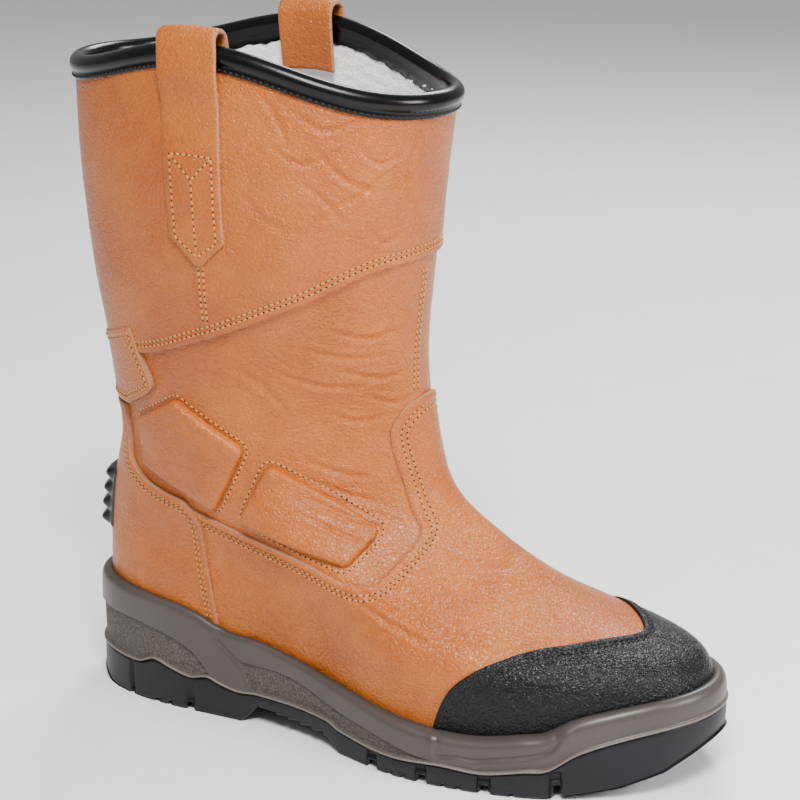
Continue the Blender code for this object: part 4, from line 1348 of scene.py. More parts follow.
@dataclass
class Upper:
    """Leather, lining and stitching of the boot."""

    last: Last
    relief: Relief
    gold: Stitching
    black: Stitching
    form_depth: float = 1.9 * MM
    lining_depth: float = 4.3 * MM
    vamp_top: float = -0.5 * MM
    counter_top: float = 0.1 * MM
    leg_top: float = 0.0
    overlay_top: float = 0.6 * MM
    panel_round: float = 0.7 * MM
    pad_round: float = 2.2 * MM
    pad_top: float = 2.3 * MM
    pad_corner: float = 4 * MM
    cell: float = 1.25 * MM
    reach: float = 0.5
    lap: float = 5 * MM
    cap_lap: float = 7 * MM
    strip_half: float = 9 * MM
    side_seam_x: float = 85 * MM
    front_rows: tuple[float, float] = (-1.8 * MM, -4.2 * MM)
    front_span: tuple[float, float] = (158 * MM, 214 * MM)
    side_rows: tuple[float, float] = (1.9 * MM, 4.1 * MM)
    side_span: tuple[float, float] = (191 * MM, 240 * MM)
    back_row: float = 2.2 * MM
    back_span: tuple[float, float] = (182 * MM, 284 * MM)
    roll_height: float = 0.75 * MM
    roll_place: float = 1.7 * MM
    roll_width: float = 1.3 * MM
    seam_dip: float = 0.3 * MM
    dip_place: float = 4.6 * MM
    dip_width: float = 1.8 * MM
    strip_height: float = 0.9 * MM
    front_lap: float = 0.9 * MM
    side_lap_height: float = 0.8 * MM
    pad_crown: float = 0.9 * MM

    def rolled(self, depth: Array) -> Array:
        """Height of a turned and sewn edge by the distance inside it."""
        roll = np.exp(-((depth - self.roll_place) / self.roll_width) ** 2)
        dip = np.exp(-((depth - self.dip_place) / self.dip_width) ** 2)
        return self.roll_height * roll - self.seam_dip * dip

    def net(self, name: str) -> Net:
        """Net over the form for a row of the table."""
        t_low, t_high, columns, start, end = NETS[name]
        closed = end - start == 360
        angle = np.radians(np.linspace(start, end, columns, endpoint=not closed))
        return Net(self.last, self.last.steps(t_low, t_high, self.cell), angle, closed)

    def strip(self, points: Array) -> Array:
        """Height of the strip sewn down the middle of the back."""
        behind = 1 - ease(points[:, 0] - self.last.heel_x, 30 * MM, 40 * MM)
        soft = 0.6 * MM
        beside = ease(np.abs(points[:, 1]), self.strip_half - soft, self.strip_half + soft)
        return self.strip_height * behind * (1 - beside)

    def side_lap(self, points: Array) -> Array:
        """Height of the lap at the side seams below the straps."""
        seam = self.last.heel_x + self.side_seam_x
        ahead = points[:, 0] - seam
        step = ease(ahead, -0.5 * MM, 0.5 * MM)
        return self.side_lap_height * step * (1 - ease(ahead, 3 * MM, 30 * MM))

    def find(self, t: Array, axis: int, target: float, start: float, end: float) -> Array:
        """Angle at which a coordinate of the form reaches a value.

        Args:
            t: Height shares.
            axis: Coordinate to read.
            target: Its value.
            start: Angle in degrees where it is lower.
            end: Angle in degrees where it is higher.

        Returns:
            Angles, one for each height share.
        """
        low = np.full(len(t), math.radians(start))
        high = np.full(len(t), math.radians(end))
        return close_in(low, high, lambda angle: self.last.point(t, angle)[:, axis] < target, 24)

    def sew_up(self, axis: int, target: float, sector: tuple[float, float],
               heights: tuple[float, float], surface: Field) -> None:
        """Sew a row up the leg where a coordinate has a value.

        Args:
            axis: Coordinate that stays the same.
            target: Its value.
            sector: Angles in degrees to look between, from lower to higher values.
            heights: Lowest and highest point of the row.
            surface: Height of the leather over the form by place.
        """
        t = np.linspace(0.4, 1.0, 260)
        angle = self.find(t, axis, target, *sector)
        points = self.last.point(t, angle)
        keep = (points[:, 2] > heights[0]) & (points[:, 2] < heights[1])
        t, angle, points = t[keep], angle[keep], points[keep]
        normals = self.last.normal(t, angle)
        self.gold.sew(points + normals * surface(points)[:, None], normals)

    def seams(self) -> None:
        """Rows of stitches up the front, the sides and the back."""
        for offset in self.front_rows:
            self.sew_up(1, offset, (150, 215), self.front_span, self.quarter_height)
        seam = self.last.heel_x + self.side_seam_x
        for offset in self.side_rows:
            for sector in ((25, 155), (335, 205)):
                self.sew_up(0, seam + offset, sector, self.side_span,
                            lambda points: self.relief.height(points) + self.side_lap(points))
        for side in Side:
            self.sew_up(1, side.value * (self.strip_half - self.back_row), (75, -75), self.back_span,
                        lambda points: self.relief.height(points) + self.strip(points))

    def quarter_height(self, points: Array) -> Array:
        """Height of the main leather over the form, with the lap up its front."""
        lap = (1 - ease(points[:, 1], 0.3 * MM, 1.5 * MM)) * ease(points[:, 1], -30 * MM, -8 * MM)
        front = ease(points[:, 0] - self.last.heel_x, 0.12, 0.14)
        high = self.relief.height(points) - self.form_depth + self.strip(points)
        return high + self.front_lap * lap * front

    def quarter(self, leather: bpy.types.Material) -> None:
        """Main leather of the foot and lower leg, as a net of its own under the panels."""
        net = self.net("quarter")
        t, angle = net.places()
        points = self.last.point(t, angle)
        normals = self.last.normal(t, angle)
        high = self.quarter_height(points)
        made = Shape()
        made.add(points + normals * high[:, None], net_faces(len(net.t), len(net.angle)))
        place("quarter_leather", made, [leather], "tan_leather", "upper")

    def lining(self, fleece: bpy.types.Material) -> None:
        """Fleece on the inside of the upper."""
        net = self.net("lining")
        t, angle = net.places()
        points = self.last.point(t, angle)
        normals = self.last.normal(t, angle)
        fuzz = uneven(points, 5 * MM, 0.35 * MM, 11) + uneven(points, 2.6 * MM, 0.15 * MM, 12)
        made = Shape()
        made.add(points - normals * (self.lining_depth + 0.4 * MM - fuzz)[:, None],
                 net_faces(len(net.t), len(net.angle), flip=True))
        place("fleece_lining", made, [fleece], "fleece", "upper")

    def sew_along(self, net: Net, outline: "Outline | CapEdge", edges: Sequence[str],
                  rows: Sequence[float], surface: Field, thread: Stitching) -> None:
        """Sew rows beside the named edges of an outline.

        Args:
            net: Net to follow.
            outline: Outline of the piece.
            edges: Names of the edges to sew beside.
            rows: Distances from the outline in millimetres, below 0 inside it.
            surface: Height of the leather over the form by place.
            thread: Stitching that takes the rows.
        """
        t, angle = net.places()
        values = outline.distance(self.last.point(t, angle))
        wanted = [i for i, (name, _) in enumerate(outline.edges) if name in edges]
        lines = [line for row in rows for line in contours(net, values, row * MM)]
        for line in lines:
            points = self.last.point(line[:, 0], line[:, 1])
            _, nearest = outline.measure(points)
            good = np.isin(nearest, wanted)
            normals = self.last.normal(line[:, 0], line[:, 1])
            high = surface(points)[:, None]
            cuts = np.nonzero(np.diff(good.astype(int)))[0] + 1
            for run in np.split(np.arange(len(good)), cuts):
                if len(run) > 3 and good[run[0]]:
                    thread.sew(points[run] + normals[run] * high[run], normals[run])

    def panel(self, name: str, outline: "Outline | CapEdge", edges: Sequence[str], top: float,
              share: float, finish: bpy.types.Material, thread: Stitching,
              extra: Field | None = None, measure: Field | None = None) -> None:
        """Make a panel, put it into the scene and sew its seams.

        Args:
            name: Node that the panel stands for.
            outline: Its outline.
            edges: Names of the edges that are sewn.
            top: Height over the form.
            share: How strongly its edge is rolled.
            finish: Its material.
            thread: Stitching that takes its seams.
            extra: Extra height by place.
            measure: Field that trims it, if the outline alone doesn't.
        """
        net = self.net(name)
        made = Panel(net, measure or outline.distance, top, -self.form_depth, self.panel_round,
                     self.relief, lambda depth: share * self.rolled(depth), extra)
        slot = "black_leather" if name == "toe_cap" else "tan_leather"
        place(f"{name}_leather", made.shape(), [finish], slot, name)
        self.sew_along(net, outline, edges, SEAM_ROWS[name], made.height, thread)

    def panels(self, tan: bpy.types.Material, black: bpy.types.Material) -> None:
        """Leg panel, vamp, counter, back stay, toe cap and their seams."""
        last = self.last
        far = self.reach
        leg = Outline((
            ("seam", flowing(last.leg_points(LEG_EDGE))),
            ("sky", np.array([(far, far), (-far, far)])),
        ))
        self.panel("leg_panel", leg, ["seam"], self.leg_top, 0.6, tan, self.gold,
                   lambda points: self.strip(points) + self.side_lap(points))

        stay_line = last.leg_points(BACK_STAY)
        stay = Outline((
            ("top", flowing(stay_line[:2], 8)),
            ("front", flowing(stay_line[1:6], 24)),
            ("foot", flowing(stay_line[5:], 8)),
        ))
        self.panel("back_stay", stay, ["top", "front", "foot"], self.overlay_top, 0.5, tan,
                   self.gold, self.strip)

        seam_line = flowing(last.side_points(COUNTER_SEAM))
        counter_line = flowing(last.side_points(COUNTER_TOP))
        stay_foot = float(counter_line[-1][1])
        counter = Outline((
            ("seam", seam_line),
            ("top", counter_line),
            ("rest", np.array([(-far, stay_foot), (-far, -0.1), (seam_line[0][0], -0.1)])),
        ))
        self.panel("heel_counter", counter, ["seam", "top"], self.counter_top, 1.0, tan, self.gold)

        cap = CapEdge(last)
        vamp_line = flowing(last.side_points(VAMP_TOP), 110)
        vamp = Outline((
            ("seam", seam_line - np.array([self.lap, 0])),
            ("top", vamp_line),
            ("far", np.array([(far, vamp_line[-1][1]), (far, -0.1), (seam_line[0][0], -0.1)])),
        ))
        self.panel("vamp", vamp, ["top"], self.vamp_top, 1.0, tan, self.gold,
                   measure=lambda points: np.maximum(
                       vamp.distance(points), -cap.distance(points) - self.cap_lap))
        self.panel("toe_cap", cap, ["edge"], self.overlay_top, 0.6, black, self.black)

    def pads(self, tan: bpy.types.Material) -> None:
        """Padded ankle patches on both sides."""
        for side in Side:
            net = self.net(f"pads_{side.name.lower()}")
            for name, shares in (("rear", PAD_REAR), ("front", PAD_FRONT)):
                ring = rounded(self.last.side_points(shares), self.pad_corner)
                outline = Outline((("rim", ring),))
                word = f"ankle_pad_{name}_{side.name.lower()}"
                panel = Panel(net, outline.distance, self.pad_top, -self.form_depth,
                              self.pad_round, self.relief,
                              lambda depth: self.pad_crown * ease(depth, 0.0, 12 * MM))
                made = panel.shape()
                made.marks["raw_edge"] = [np.zeros(made.size)]
                place(word + "_leather", made, [tan], "tan_leather", word)
                self.sew_along(net, outline, ["rim"], SEAM_ROWS["pads"], self.quarter_height,
                               self.gold)


# Section of the rolled binding, in millimetres out from the form and up from the collar's edge
BINDING_SECTION = (
    (-0.3, -5.5), (0.45, -8.3), (0.95, -8.4), (1.15, -8.0), (1.15, -6.6), (0.9, -5.7), (1.1, -5.2),
    (1.7, -4.6), (2.15, -3.6), (2.3, -2.4), (2.15, -1.2), (1.7, -0.1), (0.9, 0.9), (-0.2, 1.7),
    (-1.5, 2.1), (-2.8, 1.8), (-3.9, 1.1), (-4.7, 0.1), (-5.1, -1.1), (-5.2, -2.4), (-4.9, -3.6),
    (-5.0, -6.0), (-5.3, -9.6), (-4.8, -9.8), (-4.4, -7.0),
)


# Raw edge of a pull strap: places across and through it as shares of its half-width and of half
# its thickness, from the outer face round to the inner one
STRAP_EDGE = ((0.985, 0.75), (1.0, 0.3), (1.0, -0.5), (0.96, -1.0))


@dataclass
class Collar:
    """Rolled binding around the collar and the pull straps over it."""

    last: Last
    gold: Stitching
    black: Stitching
    columns: int = 420
    strap_width: float = 25 * MM
    strap_thickness: float = 2 * MM
    strap_drop: float = 99 * MM
    strap_tail: float = 30 * MM
    strap_loop: float = 5 * MM
    strap_point: float = 12 * MM
    strap_tip: float = 0.10
    strap_along: float = 0.478
    strap_slant: float = 0.034
    binding_out: float = 2.1 * MM
    binding_in: float = 6.4 * MM
    binding_depth: float = 9 * MM
    crown: float = 3 * MM
    ragged_below: float = -9 * MM
    seam_out: float = 1.15 * MM
    seam_up: float = -7.3 * MM
    strap_cell: float = 1.2 * MM
    box_height: float = 47 * MM
    box_inset: float = 3.2 * MM
    fork_drop: float = 10.5 * MM

    def binding(self, leather: bpy.types.Material) -> None:
        """Rolled binding with its sewn flange."""
        profile = np.array(BINDING_SECTION) * MM
        angle = around(self.columns)
        rim = self.last.point(np.ones_like(angle), angle)
        ragged = uneven(rim, 4 * MM, 0.55 * MM, 21) + uneven(rim, 14 * MM, 0.5 * MM, 22)
        rows = []
        for out, up in profile:
            lift = np.full(self.columns, up)
            if up < self.ragged_below:
                lift = lift + ragged
            rows.append(self.last.collar(angle, np.full(self.columns, out), lift))
        made = Shape()
        points = np.concatenate(rows)
        faces = net_faces(len(profile), self.columns)
        top = (len(profile) - 1) * self.columns
        faces += [(top + k, top + (k + 1) % self.columns, (k + 1) % self.columns, k)
                  for k in range(self.columns)]
        made.add(points, faces)
        place("collar_binding_leather", made, [leather], "binding", "collar_binding")
        row = self.last.collar(angle, np.full(self.columns, self.seam_out),
                               np.full(self.columns, self.seam_up))
        normal = self.last.normal(np.full(self.columns, 0.97), angle)
        self.black.sew(np.vstack([row, row[:1]]), np.vstack([normal, normal[:1]]))

    def strap_line(self) -> Array:
        """Middle line of a strap as distances out and up from the collar, outer tip first."""
        lift = GAP + self.strap_thickness / 2
        outer = self.binding_out + GAP + lift
        inner = -self.binding_in - GAP - lift
        crown = self.strap_loop + self.crown
        path = [(lift, -self.strap_drop + crown), (lift, -self.strap_drop + crown + self.strap_point)]
        path += [(lift, -share * self.strap_drop) for share in (0.62, 0.42, 0.25)]
        path += [(outer, -self.binding_depth - self.strap_thickness), (outer, -GAP)]
        for k in range(1, 6):
            turn = math.pi * k / 6
            path.append(((outer + inner) / 2 + (outer - inner) / 2 * math.cos(turn),
                         crown * math.sin(turn) ** 0.6))
        path += [(inner, -GAP), (inner, crown - self.strap_tail)]
        table = np.array(path)
        return flowing(table, int(distances(table)[-1] / self.strap_cell))

    def strap_half(self, up: Array) -> Array:
        """Half-width of a strap at heights over the collar."""
        tip = -self.strap_drop + self.strap_loop + self.crown
        share = np.clip((up - tip) / self.strap_point, 0, 1)
        return self.strap_width / 2 * (self.strap_tip + (1 - self.strap_tip) * share)

    def angles(self, across: Array, up: Array, side: Side) -> Array:
        """Angles around the collar from places across a strap and heights over the collar."""
        along = self.strap_along + across / self.last.shaft_depth - self.strap_slant * up / self.strap_drop
        turn = np.arccos(np.clip(1 - 2 * along, -1, 1))
        return turn if side is Side.OUTER else 2 * math.pi - turn

    def strap(self, side: Side, leather: bpy.types.Material) -> None:
        """One pull strap with its stitching."""
        line = self.strap_line()
        run = unit(np.gradient(line, axis=0))
        half = self.strap_half(line[:, 1])
        thick = self.strap_thickness / 2
        section = [(s, 1.0, 0.0) for s in np.linspace(-0.95, 0.95, 15)]
        section += [(across, through, 1.0) for across, through in STRAP_EDGE]
        section += [(s, -1.0, 0.0) for s in np.linspace(0.8, -0.8, 7)]
        section += [(-across, through, 1.0) for across, through in reversed(STRAP_EDGE)]
        cross = np.array(section)
        w = cross[:, 0][None, :] * half[:, None]
        h = np.broadcast_to(cross[:, 1][None, :] * thick, w.shape)
        out = line[:, 0][:, None] + run[:, 1][:, None] * h
        up = line[:, 1][:, None] - run[:, 0][:, None] * h
        angle = self.angles(w, line[:, 1][:, None], side)
        points = self.last.collar(angle.ravel(), out.ravel(), up.ravel())
        count = len(section)
        faces = net_faces(len(line), count, flip=side is Side.INNER)
        caps = [tuple(range(count)), tuple(range((len(line) - 1) * count, len(line) * count))]
        faces += [caps[0][::-1], caps[1]] if side is Side.OUTER else [caps[0], caps[1][::-1]]
        made = Shape()
        made.add(points, faces, raw_edge=np.tile(cross[:, 2], len(line)))
        name = side.name.lower()
        place(f"pull_strap_{name}_leather", made, [leather], "tan_leather", f"pull_strap_{name}")
        self.sew_strap(side)

    def sew_strap(self, side: Side) -> None:
        """Box and arrow of stitches on the outer end of a strap."""
        low = -self.strap_drop + self.strap_loop + self.crown
        top = low + self.box_height
        wide = self.strap_width / 2 - self.box_inset
        fork = top - self.fork_drop
        shoulder = low + self.strap_point - 0.5 * MM
        tip = low + 4 * MM
        rows = (
            ((-wide, top), (wide, top)),
            ((-wide, top), (-wide, shoulder), (0, tip)),
            ((wide, top), (wide, shoulder), (0, tip)),
            ((-wide, top), (0, fork), (0, tip + 2 * MM)),
            ((wide, top), (0, fork)),
        )
        for row in rows:
            table = np.array(row)
            places = distances(table)
            at = np.linspace(0, places[-1], max(int(places[-1] / MM), 3))
            across = np.interp(at, places, table[:, 0])
            up = np.interp(at, places, table[:, 1])
            angle = self.angles(across, up, side)
            surface = np.full(len(at), GAP + self.strap_thickness)
            points = self.last.collar(angle, surface, up)
            rim = self.last.point(np.ones_like(angle), angle)
            t = self.last.level(angle, rim[:, 2] + up)
            self.gold.sew(points, self.last.normal(t, angle))


# Parting bead along the foot of the midsole: inset and height in millimetres, share of pale tone
BEAD = ((1.4, 0.3, 0.0), (0.35, 0.3, 0.0), (0.05, 0.6, 0.3), (0.0, 0.9, 1.0), (0.15, 1.3, 1.0),
        (0.55, 1.6, 0.2))

# Loops across the tread as shares of its half-width, and its lower edge in millimetres
TREAD_LOOPS = (0.0, 0.15, 0.3, 0.45, 0.6, 0.72, 0.84, 0.93, 0.97)
TREAD_CHAMFER = ((2.0, 0.0), (1.2, 0.35), (0.75, 1.2))

# One rib of the spur: places up it and how far it stands out
SPUR_RIB = ((0.0, 0.10, 0.42, 0.60, 0.86, 1.0), (0.30, 0.42, 1.0, 0.98, 0.62, 0.30))


@dataclass
class Sole:
    """Midsole, outsole, insole and heel spur."""

    last: Last
    columns: int = 900
    wall_rows: int = 46
    rim_width: float = 6 * MM
    cup_gap: float = 0.9 * MM
    shoulder: float = 4 * MM
    heel_band: float = 1.2 * MM
    front_band: float = 0.9 * MM
    fore_step: float = 0.8 * MM
    crack_depth: float = 0.5 * MM
    crease_depth: float = 0.55 * MM
    crease_swell: float = 0.5 * MM
    bar_height: float = 3.4 * MM
    wall_inset: float = 0.9 * MM
    flute_depth: float = 1.5 * MM
    tread_edge: float = 1.4 * MM
    spur_half: float = 20 * MM
    spur_low: float = 0.570
    spur_high: float = 0.793
    spur_ribs: int = 4
    spur_rows: tuple[float, float] = (1.6 * MM, 3.4 * MM)

    def loop(self, name: str, inset: float | Array, lift: float | Array, angle: Array) -> Array:
        """Loop on the sole's outline at one of its lines.

        Args:
            name: Line of the sole.
            inset: How far the loop is drawn in.
            lift: Height over the line.
            angle: Angles around the sole.

        Returns:
            Points of the loop.
        """
        last = self.last
        along = (1 - np.cos(angle)) / 2
        width = last.sole_width(angle) * (1 - inset / last.sole_base(along))
        x = last.heel_x + inset + (last.sole_length - 2 * inset) * along
        y = last.middle(along) - np.sign(np.sin(angle)) * width
        return np.stack([x, y, last.sole_line(name, along) + lift + 0 * angle], -1)

    def cup(self, share: float, distance: float, angle: Array, lift: float = 0.0) -> Array:
        """Loop around the upper's foot at a share of the way from the bed to the lip."""
        along = (1 - np.cos(angle)) / 2
        t = share * self.last.level(angle, self.last.sole_line("lip", along))
        made = self.last.point(t, angle) + self.last.normal(t, angle) * distance
        made[..., 2] += lift
        return made

    def side_outline(self, *parts: Sequence[tuple[float, float]]) -> Outline:
        """Closed side-view outline from open lines in millimetres."""
        start = np.array([self.last.heel_x, 0.0])
        edges = []
        for k, part in enumerate(parts):
            line = np.array(part, float) * MM + start
            edges.append((f"line_{k}", flowing(line, 50) if len(part) > 3 else line))
        return Outline(tuple(edges))

    def moulding(self, points: Array) -> tuple[Array, Array]:
        """Relief of the bands on the midsole's wall.

        Args:
            points: Points on the wall.

        Returns:
            Heights over the wall, 0 or below, and the share of coarse grain.
        """
        heel = self.side_outline(HEEL_BAND, ((79, -5), (-60, -5), (-60, 38.9)))
        front = self.side_outline(FRONT_BAND, ((219, -5), (101, -5), (97.3, 15.5)))
        fore = self.side_outline(STRUT_EDGE, ((400, -5), (400, 60)))
        crease = self.side_outline(TOE_CREASE, ((252, 60), (200, 60)))
        soft = 0.3 * MM
        in_heel = ease(-heel.distance(points), -soft, soft)
        in_front = ease(-front.distance(points), -soft, soft)
        ahead = -fore.distance(points)
        in_fore = ease(ahead, -soft, soft)
        crack = np.exp(-((ahead - 0.5 * MM) / (0.6 * MM)) ** 2)
        fold = crease.distance(points)
        low = ease(points[:, 2], 60 * MM, 30 * MM)
        trough = np.exp(-(fold / (0.8 * MM)) ** 2) * low
        swell = np.exp(-((fold - 2.6 * MM) / (1.8 * MM)) ** 2) * low
        high = -self.heel_band * in_heel - self.front_band * in_front - self.fore_step * in_fore
        high = high - self.crack_depth * crack - self.crease_depth * trough
        return high + self.crease_swell * swell, np.maximum(in_heel, in_front)

    def midsole(self, finish: bpy.types.Material) -> None:
        """Moulded midsole with its bands."""
        angle = around(self.columns)
        along = (1 - np.cos(angle)) / 2
        joint = self.last.sole_line("joint", along)
        lip = self.last.sole_line("lip", along)
        none = np.zeros(self.columns)
        full = np.ones(self.columns)
        rows = [
            (self.loop("core", self.rim_width + GAP, GAP, angle), none, none),
            (self.loop("joint", self.rim_width + GAP, GAP, angle), none, none),
        ]
        for inset, lift, pale in BEAD:
            rows.append((self.loop("joint", inset * MM, lift * MM, angle), none, full * pale))
        low, high = joint + 2.1 * MM, lip - self.shoulder
        shares = np.linspace(0, 1, self.wall_rows)
        lifts = [low + (high - low) * share - joint for share in shares]
        walls = np.concatenate([self.loop("joint", 0.0, lift, angle) for lift in lifts])
        relief, grained = (values.reshape(len(shares), -1) for values in self.moulding(walls))
        for k, share in enumerate(shares):
            inset = 0.25 * MM - relief[k] - 0.25 * MM * math.sin(math.pi * share)
            rows.append((self.loop("joint", inset, lifts[k], angle), grained[k], none))
        start = rows[-1][0]
        edge = self.cup(1.0, self.cup_gap + 1.6 * MM, angle)
        for turn in np.radians((20, 40, 58, 75, 90)):
            mixed = start + (edge - start) * (1 - math.cos(turn))
            mixed[:, 2] = start[:, 2] + (edge[:, 2] - start[:, 2]) * math.sin(turn)
            rows.append((mixed, none, none))
        rows += [
            (self.cup(1.0, 0.5 * MM, angle, -0.1 * MM), none, none),
            (self.cup(1.0, -0.2 * MM, angle, -1.2 * MM), none, none),
            (self.cup(0.75, -0.6 * MM, angle), none, none),
        ]
        made = Shape()
        made.add(np.concatenate([row[0] for row in rows]), net_faces(len(rows), self.columns),
                 grained=np.concatenate([row[1] for row in rows]),
                 bead=np.concatenate([row[2] for row in rows]))
        place("moulded_midsole", made, [finish], "midsole", "midsole")

    def notches(self, x: Array) -> tuple[Array, Array, Array]:
        """Cuts of the tread at places along the outline.

        Args:
            x: Places from the heel.

        Returns:
            Heights cut out of the tread, how far the cuts run up the wall, and their strength.
        """
        cut = np.zeros_like(x)
        run = np.zeros_like(x)
        strength = np.zeros_like(x)
        for middle, half, depth, height in NOTCHES:
            share = 1 - ease(np.abs(x - middle * MM), (half - 0.35) * MM, (half + 0.45) * MM)
            cut = np.maximum(cut, depth * MM * share)
            run = np.where(share > strength, height * MM, run)
            strength = np.maximum(strength, share)
        tooth = (x - TEETH_START * MM) / (TOOTH_PITCH * MM)
        in_arch = (tooth >= 0) & (tooth < TEETH)
        drop = (1.1 + 0.22 * tooth) * MM * (1 - tooth % 1)
        return np.where(in_arch, cut - drop, cut), run, strength

    def outsole(self, finish: bpy.types.Material) -> None:
        """Lugged outsole."""
        count = 2 * self.columns
        angle = around(count)
        along = (1 - np.cos(angle)) / 2
        x = self.last.sole_length * along
        tread = self.last.sole_line("tread", along, smooth=False)
        joint = self.last.sole_line("joint", along)
        cut, run, strength = self.notches(x)
        floor = tread + cut
        rows = []
        for share in TREAD_LOOPS:
            depth = (1 - share) * self.last.sole_width(angle)
            fade = 1 - ease(depth, 19 * MM, 24 * MM)
            row = self.loop("joint", 0.0, 0.0, angle)
            row[:, 1] = self.last.middle(along) + (row[:, 1] - self.last.middle(along)) * share
            row[:, 2] = tread + cut * fade
            for middle in CENTRE_BARS:
                bar = 1 - ease(np.abs(x - middle * self.last.sole_length), 1.6 * MM, 2.6 * MM)
                row[:, 2] += self.bar_height * bar * (1 - fade)
            rows.append(row)
        for inset, lift in TREAD_CHAMFER:
            row = self.loop("joint", inset * MM, 0.0, angle)
            row[:, 2] = floor + lift * MM
            rows.append(row)
        for share in np.linspace(0.05, 0.96, 14):
            height = floor + self.tread_edge + (joint - floor - self.tread_edge) * share
            flute = strength * (1 - ease(height - tread, run - 1.2 * MM, run + 0.3 * MM))
            rib = 0.25 * MM * np.sin(math.pi * share)
            inset = self.wall_inset + self.flute_depth * flute - rib
            row = self.loop("joint", inset, 0.0, angle)
            row[:, 2] = height
            rows.append(row)
        for inset in (1.5 * MM, self.rim_width):
            rows.append(self.loop("joint", inset, 0.0, angle))
        rows.append(self.loop("core", self.rim_width, 0.0, angle))
        made = Shape()
        made.add(np.concatenate(rows), net_faces(len(rows), count))
        place("lugged_outsole", made, [finish], "rubber", "outsole")

    def spur(self, finish: bpy.types.Material, thread: Stitching) -> None:
        """Ribbed kick-off spur at the back."""
        last = self.last
        half = self.spur_half
        low, high = self.spur_low * last.instep_height, self.spur_high * last.instep_height
        shares = np.linspace(0, 1, 73)
        across = np.linspace(-1, 1, 57)
        fine = np.radians(np.linspace(-80, 80, 161))

        def spots(height: float, reach: Array, out: Array) -> Array:
            """Points at a height over the sideways places, lifted off the form."""
            t = last.level(fine, np.full(len(fine), height))
            known = last.point(t, fine)
            here = np.interp(reach, -known[:, 1], fine)
            level = last.level(here, np.full(len(here), height))
            return last.point(level, here) + last.normal(level, here) * out[:, None]

        rows = []
        for share in shares:
            step = share * self.spur_ribs % 1
            rib = np.interp(step, *SPUR_RIB)
            ends = ease(np.array(share), 0.0, 0.06) * (1 - ease(np.array(share), 0.95, 1.0))
            body = 1 - ease(np.abs(across), 0.72, 0.90)
            flange = 1 - ease(np.abs(across), 0.97, 1.0)
            out = (0.3 + 0.9 * flange * ends + (4.3 * rib - 0.4) * body * ends) * MM
            height = low + (high - low) * share
            rows.append(spots(height, across * half, out))
        made = Shape()
        made.add(np.concatenate(rows), net_faces(len(rows), len(across), closed=False, flip=True))
        place("ribbed_spur", made, [finish], "rubber", "heel_spur")
        for offset in self.spur_rows:
            reach = half + offset
            path = [(low + (high - low) * s, -reach) for s in np.linspace(1, 0, 24)]
            path += [(low - offset, reach * s) for s in np.linspace(-0.98, 0.98, 30)]
            path += [(low + (high - low) * s, reach) for s in np.linspace(0, 1, 24)]
            line = np.concatenate([
                spots(height, np.array([side]), np.array([-0.35 * MM])) for height, side in path])
            normal = np.concatenate([
                unit(spots(height, np.array([side]), np.array([1.0 * MM]))
                     - spots(height, np.array([side]), np.array([0.0]))) for height, side in path])
            thread.sew(line, normal)

    def dress(self, name: str, finish: bpy.types.Material) -> None:
        """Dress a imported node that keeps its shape."""
        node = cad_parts[name]
        node.data.materials.clear()
        node.data.materials.append(finish)
        LOG.info("%s dressed", name)


# Lights: name, place, power in watts and width of the box
LIGHTS = (
    ("key_softbox", (0.45, -0.85, 1.35), 38.0, 0.5),
    ("front_softbox", (1.35, -0.1, 0.8), 18.0, 0.5),
    ("rim_softbox", (-0.15, 1.15, 1.25), 22.0, 0.6),
)
LIGHT_AIM = (0.0, 0.0, 0.12)
WORLD_STRENGTH = 0.4


def link(name: str, data: bpy.types.ID) -> bpy.types.Object:
    """Put an object with its data into the scene."""
    made = bpy.data.objects.new(name, data)
    bpy.context.scene.collection.objects.link(made)
    return made


def set_stage(floor: bpy.types.Material) -> None:
    """Pale floor, soft lights and world."""
    made = Shape()
    half = 6.0
    steps = 9
    line = np.linspace(-half, half, steps)
    x, y = np.meshgrid(line, line, indexing="ij")
    made.add(np.stack([x.ravel(), y.ravel(), np.zeros(steps * steps)], -1),
             net_faces(steps, steps, closed=False))
    mesh = made.mesh("studio_floor")
    mesh.materials.append(floor)
    link("studio_floor", mesh)
    world = bpy.data.worlds.new("studio_world")
    world.use_nodes = True
    sky = world.node_tree.nodes["Background"]
    sky.inputs["Color"].default_value = (1.0, 1.0, 1.0, 1.0)
    sky.inputs["Strength"].default_value = WORLD_STRENGTH
    bpy.context.scene.world = world
    for name, spot, power, size in LIGHTS:
        light = bpy.data.lights.new(name, "AREA")
        light.energy = power
        light.size = size
        lamp = link(name, light)
        lamp.location = spot
        aim = Vector(LIGHT_AIM) - Vector(spot)
        lamp.rotation_euler = aim.to_track_quat("-Z", "Y").to_euler()


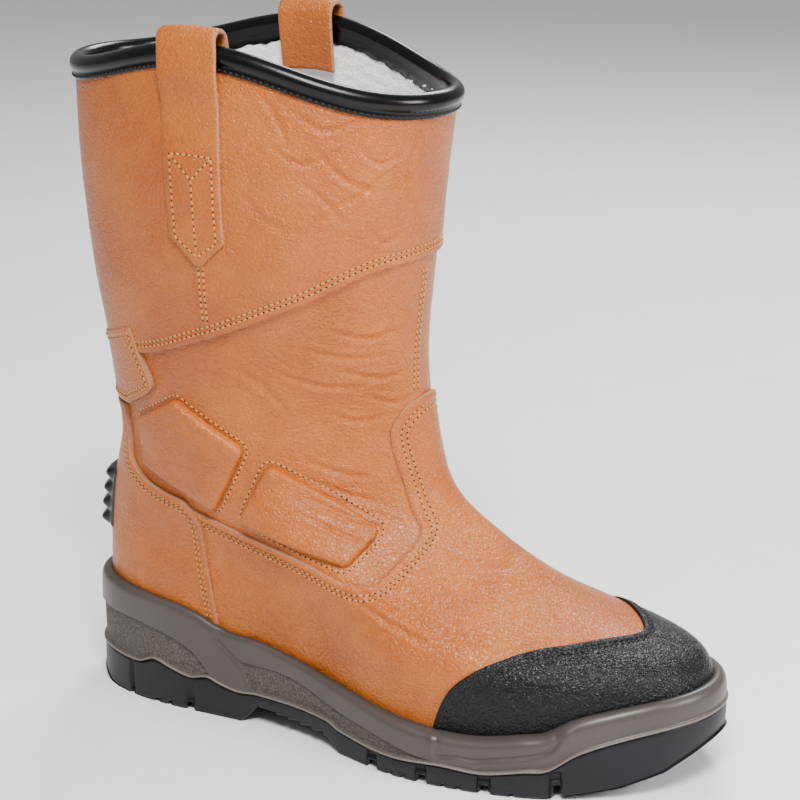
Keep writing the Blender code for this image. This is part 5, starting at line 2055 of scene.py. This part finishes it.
@dataclass(frozen=True)
class Viewpoint:
    """Camera at the photograph's angle to the boot."""

    azimuth: float = 26.84
    elevation: float = 17.32
    distance: float = 1.001
    target: tuple[float, float, float] = (0.0035, 0.0, 0.151)
    focal_pixels: float = 2287.0
    frame_pixels: float = 800.0
    sensor: float = 36.0

    def make(self) -> None:
        """Create the camera."""
        camera = bpy.data.cameras.new("studio_camera")
        camera.sensor_width = self.sensor
        camera.lens = self.focal_pixels / self.frame_pixels * self.sensor
        turn, lift = math.radians(self.azimuth), math.radians(self.elevation)
        away = Vector((math.sin(turn) * math.cos(lift), -math.cos(turn) * math.cos(lift), math.sin(lift)))
        obj = link("studio_camera", camera)
        obj.location = Vector(self.target) + away * self.distance
        obj.rotation_euler = (-away).to_track_quat("-Z", "Y").to_euler()
        bpy.context.scene.camera = obj


def corners(box: Sequence) -> list[list[float]]:
    """Two corners of a box as plain lists."""
    return [[float(value) for value in corner] for corner in box]


def main() -> None:
    """Build the boot's looks, the stage and the camera."""
    logging.basicConfig(level=logging.INFO, format="%(message)s")
    low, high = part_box("midsole")
    last = Last(heel_x=low.x, sole_length=high.x - low.x)
    relief = Relief(last, [Crease(*row) for row in CREASE_ROWS])
    gold, black = Stitching(), Stitching()
    tan, black_hide = TAN.make(), BLACK_HIDE.make()
    binding = BINDING.make()
    rubber = RUBBER.make()
    fleece = FLEECE.make()
    upper = Upper(last, relief, gold, black)
    upper.quarter(tan)
    upper.lining(fleece)
    upper.panels(tan, black_hide)
    upper.pads(tan)
    upper.seams()
    collar = Collar(last, gold, black)
    collar.binding(binding)
    for side in Side:
        collar.strap(side, tan)
    sole = Sole(last)
    sole.midsole(MIDSOLE.make())
    sole.outsole(rubber)
    sole.spur(SPUR_RUBBER.make(), gold)
    sole.dress("insole", fleece)
    place("golden_stitching", gold.threads, [GOLD_THREAD.make()], "tan_leather")
    # Painted shade in the needle holes
    place("golden_needle_hole_shade", gold.hole_shades, [NEEDLE_HOLE_SHADE.make()], "tan_leather")
    place("black_stitching", black.threads, [BLACK_THREAD.make()], "black_leather")
    set_stage(FLOOR.make())
    Viewpoint().make()


if __name__ == "__main__":
    main()
